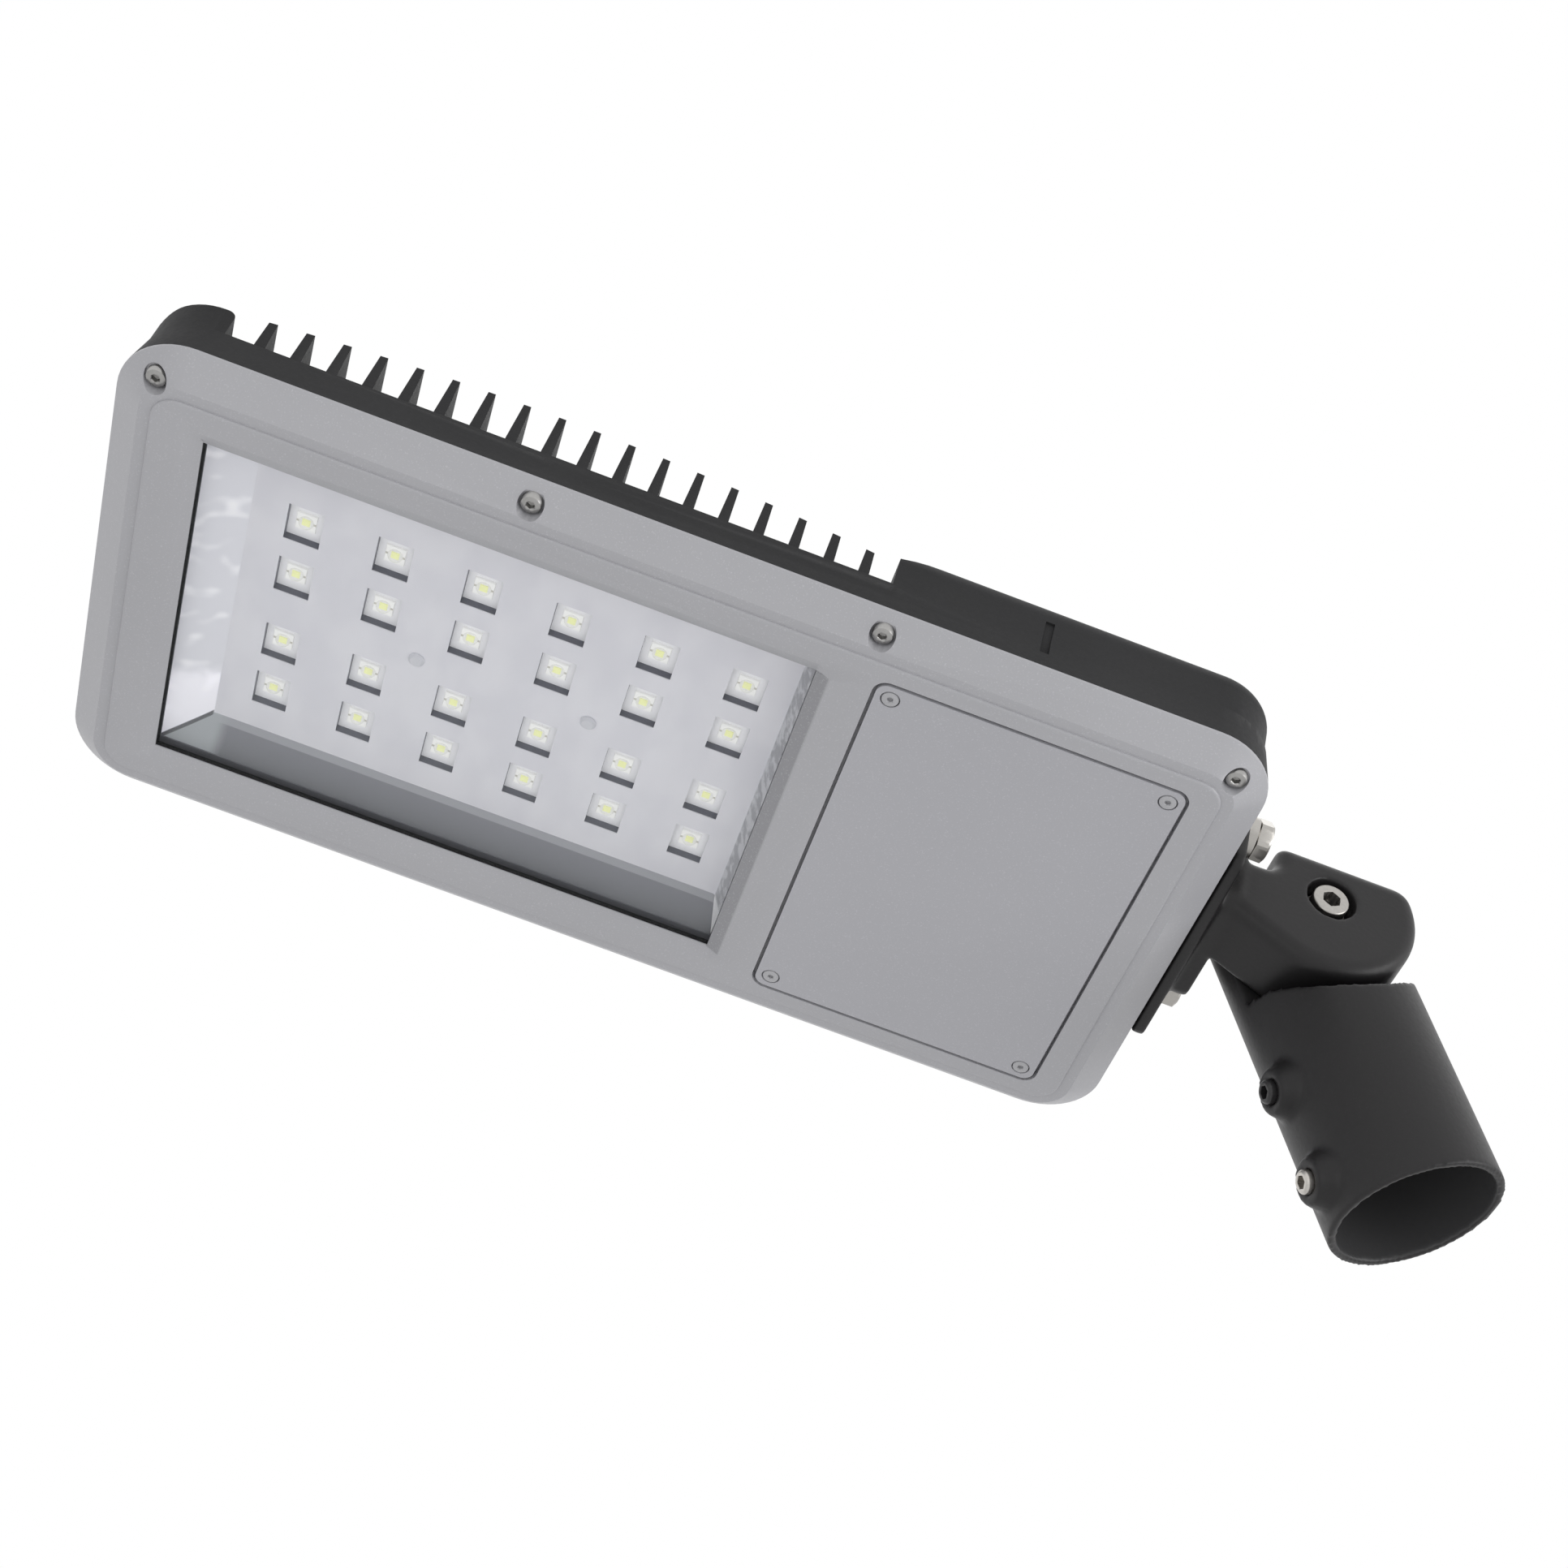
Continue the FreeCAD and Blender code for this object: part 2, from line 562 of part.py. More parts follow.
def frame_screw_spots():
    return [("corner_x", "-corner_y"), ("mid_x", "-mid_y"), ("-mid_x", "-mid_y"), ("-corner_x", "-corner_y")]


def tongue_spots():
    return ["-tongue_spacing", "0", "tongue_spacing"]


def cover_screw_spots():
    xs = ("cover_x0 + cover_screw_inset", "cover_x1 - cover_screw_inset")
    ys = ("cover_screw_inset - cover_y", "cover_y - cover_screw_inset")
    return [(x, y) for x in xs for y in ys]


def build_housing():
    """The die-cast heat sink: drafted sides, solid nose, arched fins, crowned driver block."""
    body = new_body("heat_sink_housing")
    low = sketch(body, "XY")
    outline_inset(low, "0")
    high = sketch(body, "XY", "wall_height")
    outline_inset(high, "wall_draft")
    loft(body, [low, high])

    upper = sketch(body, "XY", "wall_height - 1")
    rounded(upper, "tip_x + wall_draft", "rear_x - rear_inset", "wall_draft - side_y", "side_y - wall_draft",
            "(corner_radius - wall_draft)")
    pad(body, upper, "rear_crown_top - wall_height + 1")

    climb = "(rear_crown_top + 3 - rear_front_top)"
    profile = sketch(body, "XZ")
    outline(profile, [
        ("tip_x - 5", "nose_top - nose_round"),
        ("tip_x + wall_draft", "nose_top - nose_round"),
        ("tip_x + wall_draft + nose_round", "nose_top", "-nose_round"),
        ("fin_x0 - nose_edge", "nose_top"),
        ("fin_x0", "nose_top - nose_edge", "-nose_edge"),
        ("fin_x0", "wall_height"),
        ("fin_x1", "wall_height"),
        ("fin_x1", "rear_front_top"),
        ("fin_x1 + roof_rise", "rear_crown_top + 3", f"-((roof_rise^2 + {climb}^2) / 2 / {climb})"),
        ("fin_x1 + roof_rise", "rear_crown_top + 5"),
        ("tip_x - 5", "rear_crown_top + 5"),
    ])
    pocket(body, profile, "2 * head_width", both=True)

    crown = sketch(body, "YZ", "fin_x1 - 1")
    sag = "(rear_crown_top - rear_side_top)"
    outline(crown, [
        ("-side_y", "rear_side_top"),
        ("0", "rear_crown_top", f"-((side_y * side_y + {sag}^2) / 2 / {sag})"),
        ("side_y", "rear_side_top", f"-((side_y * side_y + {sag}^2) / 2 / {sag})"),
        ("side_y", "rear_crown_top + 5"),
        ("-side_y", "rear_crown_top + 5"),
    ])
    pocket(body, crown, "rear_length + 5", ahead=True)
    rear_x, fin_x1, top = num("rear_x"), num("fin_x1"), num("rear_side_top")
    fillet(body, "roof_edge", lambda box: box.ZMin > 25 and (
        box.XMax > rear_x - 40 and box.ZMax > top - 1 and box.XMin > fin_x1 + 1))
    add_fins(body)
    add_bracket_seat(body)
    hollow_housing(body)
    return keep(body)


def add_fins(body):
    fin = sketch(body, "XZ")
    outline(fin, [
        ("first_fin - fin_root / 2", "wall_height - 0.5"),
        ("first_fin + fin_root / 2", "wall_height - 0.5"),
        ("first_fin + fin_tip / 2", "fin_top"),
        ("first_fin - fin_tip / 2", "fin_top"),
    ])
    one = pad(body, fin, "head_width - 2 * fin_end_inset", both=True)
    row_along_x(body, one, "fin_pitch", "fin_count")

    arch = sketch(body, "XZ")
    left, right = "fin_x0 + 1", "fin_x1 - 1"
    drop = "(fin_arch_radius - sqrt(fin_arch_radius^2 - ({0} - fin_arch_x)^2))"
    outline(arch, [
        (left, "fin_top - " + drop.format(left)),
        ("fin_arch_x", "fin_top", "-fin_arch_radius"),
        (right, "fin_top - " + drop.format(right), "-fin_arch_radius"),
        (right, "fin_top + 5"),
        (left, "fin_top + 5"),
    ])
    pocket(body, arch, "2 * head_width", both=True)

    spots = sketch(body, "XY", "wall_height - 0.5")
    for gap in ("boss_first", "boss_second"):
        for side in ("-", ""):
            circle(spots, f"first_fin + {gap} * fin_pitch", f"{side}(side_y - boss_inset)", "boss_diameter")
    pad(body, spots, "boss_height + 0.5")


def add_bracket_seat(body):
    """The raised seat on the rear wall, which the bracket's flange is bolted to."""
    seat = sketch(body, "YZ", "rear_x - 12")
    rounded(seat, "-bracket_width / 2", "bracket_width / 2", "bracket_bottom", "bracket_top",
            "bracket_corner")
    pad(body, seat, "seat_x - rear_x + 12")
    depth = "(side_y - wall_draft - notch_depth)"
    for offset, ahead in ((depth, True), ("-" + depth, False)):
        notch = sketch(body, "XZ", offset)
        rectangle(notch, "notch_x - notch_width / 2", "notch_x + notch_width / 2",
                  "wall_height / 2", "wall_height + 9")
        pocket(body, notch, "wall_draft + notch_depth + 1", ahead=ahead)


def hollow_housing(body):
    """The rooms, the screw channel, the screw bosses and the holes, cut from below."""
    room = sketch(body, "XY")
    rounded(room, "tip_x + rim_width", "partition_x0", "-room_y", "room_y", "room_corner")
    rounded(room, "partition_x1", "driver_room_x1", "-room_y", "room_y", "room_corner")
    pocket(body, room, "base_z", ahead=True)

    front = sketch(body, "XY", "base_z - 1")
    rounded(front, "partition_x1", "driver_room_x1", "-room_y", "room_y", "room_corner")
    pocket(body, front, "driver_roof - base_z + 1", ahead=True)

    roof = sketch(body, "YZ", "partition_x1 + roof_step")
    outline(roof, [
        ("-room_y", "base_z"),
        ("room_y", "base_z"),
        ("room_y", "rear_side_top - roof_wall"),
        ("0", "rear_crown_top - roof_wall - roof_extra", "roof_radius"),
        ("-room_y", "rear_side_top - roof_wall", "roof_radius"),
    ])
    pocket(body, roof, "driver_room_x1 - partition_x1 - roof_step", ahead=True)

    channel = sketch(body, "XY")
    outline_inset(channel, "channel_outer")
    outline_inset(channel, "channel_inner")
    pocket(body, channel, "base_z", ahead=True)
    bosses = sketch(body, "XY")
    for x, y in frame_screw_spots():
        circle(bosses, x, y, "screw_boss")
    pad(body, bosses, "base_z + 0.5")
    holes = sketch(body, "XY")
    for x, y in frame_screw_spots():
        circle(holes, x, y, "frame_screw + thread_clearance")
    pocket(body, holes, "frame_screw_length - screw_seat + 2", ahead=True)
    notches = sketch(body, "XZ", "0.5 + channel_outer - side_y")
    for x in tongue_spots():
        rectangle(notches, f"{x} - tongue_length / 2 - slide_clearance",
                  f"{x} + tongue_length / 2 + slide_clearance",
                  "tongue_height - hook_height - slide_clearance", "tongue_height + slide_clearance")
    pocket(body, notches, "hook_y + slide_clearance + channel_outer - side_y + 0.5")

    inside = sketch(body, "XY", "pad_z")
    for x, y in board_screw_spots() + tray_screw_spots():
        circle(inside, x, y, "small_screw + thread_clearance")
    pocket(body, inside, "pad_thickness + 2.4", ahead=True)

    taps = sketch(body, "XY", "driver_roof - 1")
    for x, y in driver_screw_spots():
        circle(taps, x, y, "driver_screw + thread_clearance")
    pocket(body, taps, "driver_screw_bite + 1.5", ahead=True)

    pedestal = sketch(body, "XY", "terminal_top")
    rectangle(pedestal, "terminal_x - terminal_width / 2", "terminal_x + terminal_width / 2",
              "terminal_y - terminal_length / 2", "terminal_y + terminal_length / 2")
    pad(body, pedestal, "rear_crown_top - roof_wall - terminal_top")
    taps = sketch(body, "XY", "terminal_top - 1")
    for x, y in terminal_screw_spots():
        circle(taps, x, y, "small_screw + thread_clearance")
    pocket(body, taps, "terminal_screw_bite + 1.5", ahead=True)

    bolt_bosses = sketch(body, "YZ", "driver_room_x1 - bolt_boss_length")
    for side in ("-", ""):
        circle(bolt_bosses, f"{side}bracket_bolt_side", "bracket_bolt_height", "bolt_boss")
    pad(body, bolt_bosses, "bolt_boss_length + 1")
    rear = sketch(body, "YZ", "rear_x + 5")
    for side in ("-", ""):
        circle(rear, f"{side}bracket_bolt_side", "bracket_bolt_height", "bracket_bolt + thread_clearance")
    pocket(body, rear, "rear_x + 5 - driver_room_x1 + bolt_boss_length - 3")
    entry = sketch(body, "YZ", "rear_x + 5")
    circle(entry, "-cable_side", "cable_z", "grommet_groove")
    pocket(body, entry, "rear_x + 6 - driver_room_x1")
    lead = sketch(body, "YZ", "partition_x0 - 1")
    circle(lead, "lead_side", "base_z / 2", "lead_hole")
    pocket(body, lead, "partition + 2", ahead=True)


def board_screw_spots():
    xs = ("floor_x0 + board_screw_end", "(floor_x0 + floor_x1) / 2", "floor_x1 - board_screw_end")
    return [(x, f"{side}(floor_y + board_screw_side)") for x in xs for side in ("-", "")]


def tray_screw_spots():
    return [(f"led_x0 + {gap} * led_pitch", "0") for gap in ("1.5", "3.5")]


def driver_screw_spots():
    return [("driver_x", f"{side}(driver_length / 2 + driver_tab / 2)") for side in ("-", "")]


def terminal_screw_spots():
    return [("terminal_x", f"terminal_y {side} terminal_length / terminal_poles / 2") for side in ("-", "+")]


def build_frame():
    """The cast face frame: upright edge, bevel, step, flat face, window and cover recess."""
    body = new_body("front_frame")
    edge = sketch(body, "XY", "-frame_edge")
    outline_inset(edge, "0")
    pad(body, edge, "frame_edge")
    wide = sketch(body, "XY", "-frame_edge")
    outline_inset(wide, "0")
    narrow = sketch(body, "XY", "face_z + frame_step")
    outline_inset(narrow, "frame_bevel")
    loft(body, [wide, narrow])
    face = sketch(body, "XY", "face_z")
    outline_inset(face, "frame_step_inset")
    pad(body, face, "frame_step + 0.5")
    face_z = num("face_z")
    fillet(body, "face_edge", lambda box: abs(box.ZMin - face_z) < 1e-4 and box.ZLength < 1e-4)

    room = sketch(body, "XY")
    outline_inset(room, "rim_width")
    pocket(body, room, "frame_depth - frame_wall")
    wall = sketch(body, "XY", "plate_top - 0.5")
    rounded(wall, "window_x0 - seal_reach - wall_lip", "window_x1 + seal_reach + wall_lip",
            "-window_y - seal_reach - wall_lip", "window_y + seal_reach + wall_lip",
            "(2 * tray_corner + wall_lip)")
    pad(body, wall, "seal_top - plate_top + 0.5")
    well = sketch(body, "XY", "seal_top")
    rounded(well, "window_x0 - seal_reach", "window_x1 + seal_reach", "-window_y - seal_reach",
            "window_y + seal_reach", "(2 * tray_corner)")
    pocket(body, well, "seal_top - plate_top")
    ledge = sketch(body, "XY", "plate_top - 0.5")
    rounded(ledge, "cover_x0 - cover_gap - cover_rim", "cover_x1 + cover_gap + cover_rim",
            "-cover_y - cover_gap - cover_rim", "cover_y + cover_gap + cover_rim",
            "(cover_corner + cover_rim)")
    pad(body, ledge, "ledge_z + frame_wall - plate_top + 0.5")

    window = sketch(body, "XY", "plate_top + 1")
    rectangle(window, "window_x0", "window_x1", "-window_y", "window_y")
    pocket(body, window, "frame_wall + 2")
    outer = sketch(body, "XY", "face_z - 0.01")
    rounded(outer, "window_x0 - window_chamfer", "window_x1 + window_chamfer", "-window_y - window_chamfer",
            "window_y + window_chamfer", "window_chamfer")
    inner = sketch(body, "XY", "face_z + window_chamfer_depth")
    rounded(inner, "window_x0", "window_x1", "-window_y", "window_y", "0.5")
    loft(body, [outer, inner], cut=True)

    recess = sketch(body, "XY", "ledge_z")
    rounded(recess, "cover_x0 - cover_gap", "cover_x1 + cover_gap", "-cover_y - cover_gap",
            "cover_y + cover_gap", "(cover_corner + cover_gap)")
    pocket(body, recess, "ledge_z - face_z + 1")
    posts = sketch(body, "XY", "ledge_z")
    for x, y in cover_screw_spots():
        circle(posts, x, y, "2 * cover_screw + 1")
    pad(body, posts, "-ledge_z")
    access = sketch(body, "XY", "1")
    outline(access, driver_opening())
    pocket(body, access, "frame_depth + 2")
    taps = sketch(body, "XY", "1")
    for x, y in cover_screw_spots():
        circle(taps, x, y, "cover_screw + thread_clearance")
    pocket(body, taps, "frame_depth + 2")

    seats = sketch(body, "XY", "-screw_seat")
    for x, y in frame_screw_spots():
        circle(seats, x, y, "frame_screw_head + screw_room")
    pocket(body, seats, "frame_depth")
    holes = sketch(body, "XY", "1")
    for x, y in frame_screw_spots():
        circle(holes, x, y, "frame_screw + pass_clearance")
    pocket(body, holes, "frame_depth + 2")
    groove = sketch(body, "XY")
    outline_inset(groove, "gasket_inset")
    outline_inset(groove, "(gasket_inset + gasket_width)")
    pocket(body, groove, "gasket_depth")

    for low, y0, y1 in (("-gasket_depth", "tongue_y0", "tongue_y1"),
                        ("tongue_height - hook_height", "tongue_y1 - 0.5", "hook_y")):
        tongues = sketch(body, "XY", low)
        for x in tongue_spots():
            rectangle(tongues, f"{x} - tongue_length / 2", f"{x} + tongue_length / 2", y0, y1)
        pad(body, tongues, f"tongue_height - ({low})")
    return keep(body)


def driver_opening():
    """The opening under the cover, with its corners scooped out round the screw posts."""
    x0, x1, y = "(cover_x0 + cover_ledge)", "(cover_x1 - cover_ledge)", "(cover_y - cover_ledge)"
    scoop = "post_scoop"
    return [
        (f"{x0} + {scoop}", f"-{y}", "-" + scoop), (f"{x1} - {scoop}", f"-{y}"),
        (x1, f"-{y} + {scoop}", "-" + scoop), (x1, f"{y} - {scoop}"),
        (f"{x1} - {scoop}", y, "-" + scoop), (f"{x0} + {scoop}", y),
        (x0, f"{y} - {scoop}", "-" + scoop), (x0, f"-{y} + {scoop}"),
    ]


def build_gasket():
    body = new_body("housing_gasket")
    ring = sketch(body, "XY")
    outline_inset(ring, "gasket_inset")
    outline_inset(ring, "(gasket_inset + gasket_width)")
    pad(body, ring, "gasket_depth", back=True)
    return keep(body)


def build_glass():
    body = new_body("window_glass")
    sheet_edge = sketch(body, "XY", "plate_top + glass_seal_lip")
    rounded(sheet_edge, "window_x0 - glass_overlap", "window_x1 + glass_overlap",
            "-window_y - glass_overlap", "window_y + glass_overlap", "tray_corner")
    pad(body, sheet_edge, "glass_thickness")
    keep(body)

    seal = new_body("glass_gasket")
    ring = sketch(seal, "XY", "plate_top")
    rounded(ring, "window_x0 - seal_reach", "window_x1 + seal_reach", "-window_y - seal_reach",
            "window_y + seal_reach", "(2 * tray_corner)")
    rectangle(ring, "window_x0", "window_x1", "-window_y", "window_y")
    pad(seal, ring, "seal_top - plate_top")
    slot = sketch(seal, "XY", "plate_top + glass_seal_lip")
    rounded(slot, "window_x0 - glass_overlap", "window_x1 + glass_overlap",
            "-window_y - glass_overlap", "window_y + glass_overlap", "tray_corner")
    pocket(seal, slot, "glass_thickness", ahead=True)
    keep(seal)


def build_tray():
    """The bright reflector: a lip under the glass seal, four slopes and a pierced floor."""
    body = new_body("reflector_tray")
    top = sketch(body, "XY", "seal_top + tray_wall")
    rounded(top, "window_x0 - tray_wall", "window_x1 + tray_wall", "-window_y - tray_wall",
            "window_y + tray_wall", "tray_corner")
    bottom = sketch(body, "XY", "board_z")
    rounded(bottom, "floor_x0 - tray_wall", "floor_x1 + tray_wall", "-floor_y - tray_wall",
            "floor_y + tray_wall", "tray_corner")
    loft(body, [top, bottom])
    lip = sketch(body, "XY", "seal_top")
    rounded(lip, "window_x0 - seal_reach", "window_x1 + seal_reach", "-window_y - seal_reach",
            "window_y + seal_reach", "(2 * tray_corner)")
    pad(body, lip, "tray_wall + 0.01")
    mouth = sketch(body, "XY", "seal_top - 0.01")
    rounded(mouth, "window_x0", "window_x1", "-window_y", "window_y", "(tray_corner / 2)")
    deep = sketch(body, "XY", "floor_z")
    rounded(deep, "floor_x0", "floor_x1", "-floor_y", "floor_y", "(tray_corner / 2)")
    loft(body, [mouth, deep], cut=True)
    holes = sketch(body, "XY", "floor_z - 0.5")
    for y in ("led_outer", "led_inner"):
        rectangle(holes, "led_x0 - led_hole / 2", "led_x0 + led_hole / 2",
                  f"-{y} - led_hole_width / 2", f"-{y} + led_hole_width / 2")
    first = pocket(body, holes, "tray_floor + 1", ahead=True)
    row_along_x(body, first, "led_pitch", "led_columns", mirrored=True)
    screws = sketch(body, "XY", "floor_z - 0.5")
    for x, y in tray_screw_spots():
        circle(screws, x, y, "small_screw + pass_clearance")
    pocket(body, screws, "tray_floor + 1", ahead=True)
    keep(body)


def build_light_engine():
    """Metal core board, its thermal pad, and the light sources with their domes."""
    for name, low, thick, less in (("led_board", "board_z", "board_thickness", "0"),
                                   ("thermal_pad", "pad_z", "pad_thickness", "1")):
        body = new_body(name)
        plate = sketch(body, "XY", low)
        rounded(plate, f"floor_x0 - board_margin + {less}", f"floor_x1 + board_margin - {less}",
                f"-floor_y - board_side_margin + {less}", f"floor_y + board_side_margin - {less}", "3")
        for x, y in board_screw_spots() + tray_screw_spots():
            circle(plate, x, y, "small_screw + pass_clearance")
        pad(body, plate, thick)
        keep(body)

    chips = new_body("led_packages")
    square = sketch(chips, "XY", "board_z")
    for y in ("led_outer", "led_inner"):
        rectangle(square, "led_x0 - led_size / 2", "led_x0 + led_size / 2",
                  f"-{y} - led_size / 2", f"-{y} + led_size / 2")
    first = pad(chips, square, "led_height", back=True)
    row_along_x(chips, first, "led_pitch", "led_columns", mirrored=True)
    keep(chips)

    form = new_body("dome_form")
    profile = sketch(form, "XZ")
    outline(profile, [
        ("0", "0"),
        ("0", "-dome_height"),
        ("dome_diameter / 4", "-dome_height"),
        ("dome_diameter / 2 * 0.87", "-dome_height / 2"),
        ("dome_diameter / 2", "0"),
    ])
    revolve(form, profile)
    spots = []
    for y in ("-led_outer", "-led_inner", "led_inner", "led_outer"):
        for column in range(round(num("led_columns"))):
            spots.append((f"head_world_x + led_x0 + {column} * led_pitch", y,
                          "head_world_z + board_z - led_height"))
    group("led_domes", form, spots)


def screw_form(name, thread, head, height, length):
    """A screw with a bevelled head that points up from the seat of its head."""
    body = new_body(name)
    profile = sketch(body, "XZ")
    outline(profile, [
        ("0", f"-{height}"),
        (f"{head} / 2 - screw_edge", f"-{height}"),
        (f"{head} / 2", f"screw_edge - {height}"),
        (f"{head} / 2", "0"),
        (f"{thread} / 2", "0"),
        (f"{thread} / 2", length),
        ("0", length),
    ])
    revolve(body, profile)
    return body


def build_cover():
    body = new_body("driver_cover")
    plate = sketch(body, "XY", "face_z")
    rounded(plate, "cover_x0", "cover_x1", "-cover_y", "cover_y", "cover_corner")
    for x, y in cover_screw_spots():
        circle(plate, x, y, "cover_screw + pass_clearance")
    pad(body, plate, "cover_thickness")
    sinks = sketch(body, "XY", "face_z + cover_screw_sink")
    for x, y in cover_screw_spots():
        circle(sinks, x, y, "cover_screw_head + screw_room / 2")
    pocket(body, sinks, "cover_screw_sink + 1")
    keep(body)

    seal = new_body("cover_gasket")
    ring = sketch(seal, "XY", "face_z + cover_thickness")
    rounded(ring, "cover_x0 + 0.5", "cover_x1 - 0.5", "-cover_y + 0.5", "cover_y - 0.5", "cover_corner")
    outline(ring, driver_opening())
    for x, y in cover_screw_spots():
        circle(ring, x, y, "cover_screw + pass_clearance")
    pad(seal, ring, "cover_seal")
    keep(seal)


def build_screws():
    form = screw_form("frame_screw_form", "frame_screw", "frame_screw_head", "frame_screw_head_height",
                      "frame_screw_length")
    group("frame_screws", form, [(f"head_world_x + {x}", y, "head_world_z - screw_seat")
                                 for x, y in frame_screw_spots()])
    form = screw_form("cover_screw_form", "cover_screw", "cover_screw_head", "cover_screw_head_height",
                      "cover_screw_length")
    group("cover_screws", form, [(f"head_world_x + {x}", y, "head_world_z + face_z + cover_screw_sink")
                                 for x, y in cover_screw_spots()])
    form = screw_form("small_screw_form", "small_screw", "small_screw_head", "small_screw_head_height",
                      "small_screw_length")
    group("board_screws", form, [(f"head_world_x + {x}", y, "head_world_z + board_z")
                                 for x, y in board_screw_spots()])
    form = screw_form("tray_screw_form", "small_screw", "small_screw_head", "tray_screw_head_height",
                      "small_screw_length + tray_floor")
    group("tray_screws", form, [(f"head_world_x + {x}", y, "head_world_z + floor_z")
                                for x, y in tray_screw_spots()])


def build_driver():
    """The potted driver, hung from the roof by its two tabs, and the terminal block."""
    body = new_body("led_driver")
    case = sketch(body, "XY", "driver_roof - driver_height")
    rounded(case, "driver_x0", "driver_x0 + driver_width", "-driver_length / 2", "driver_length / 2", "2")
    pad(body, case, "driver_height")
    tabs = sketch(body, "XY", "driver_roof - driver_tab_thickness")
    rounded(tabs, "driver_x - driver_tab_width / 2", "driver_x + driver_tab_width / 2",
            "-driver_length / 2 - driver_tab", "driver_length / 2 + driver_tab", "3")
    for x, y in driver_screw_spots():
        circle(tabs, x, y, "driver_screw + pass_clearance")
    pad(body, tabs, "driver_tab_thickness")
    keep(body)
    form = screw_form("driver_screw_form", "driver_screw", "driver_screw_head", "driver_screw_head_height",
                      "driver_tab_thickness + driver_screw_bite")
    seat = "head_world_z + driver_roof - driver_tab_thickness"
    group("driver_screws", form, [(f"head_world_x + {x}", y, seat) for x, y in driver_screw_spots()])


def build_terminals():
    body = new_body("terminal_block")
    low = "terminal_top - terminal_height"
    block = sketch(body, "XY", low)
    rectangle(block, "terminal_x - terminal_width / 2", "terminal_x + terminal_width / 2",
              "terminal_y - terminal_length / 2", "terminal_y + terminal_length / 2")
    for x, y in terminal_screw_spots():
        circle(block, x, y, "small_screw + pass_clearance")
    pad(body, block, "terminal_height")
    wells = sketch(body, "XY", low)
    for pole in range(round(num("terminal_poles"))):
        y = f"terminal_y - terminal_length / 2 + terminal_length / terminal_poles * ({pole} + 0.5)"
        circle(wells, "terminal_x", y, "terminal_well")
    pocket(body, wells, "terminal_height / 3", ahead=True)
    keep(body)
    form = screw_form("terminal_screw_form", "small_screw", "(small_screw_head - 0.4)",
                      "small_screw_head_height", "terminal_height + terminal_screw_bite")
    group("terminal_screws", form, [(f"head_world_x + {x}", y, f"head_world_z + {low}")
                                    for x, y in terminal_screw_spots()])


def build_grommets():
    """Rubber rings in the rear wall and in the partition, turned about the X direction."""
    for name, left, wall, y, z, bore, groove, flange in (
            ("cable_grommet", "driver_room_x1", "(seat_x - driver_room_x1)", "-cable_side", "cable_z",
             "grommet_bore", "grommet_groove", "grommet_flange"),
            ("lead_grommet", "partition_x0", "partition", "lead_side", "base_z / 2",
             "lead_bore", "lead_hole", "lead_flange")):
        body = new_body(name)
        hole = sketch(body, "YZ", left)
        circle(hole, y, z, groove)
        circle(hole, y, z, bore)
        pad(body, hole, wall)
        lip = sketch(body, "YZ", left)
        circle(lip, y, z, flange)
        circle(lip, y, z, bore)
        pad(body, lip, "1.5", back=True)
        keep(body)


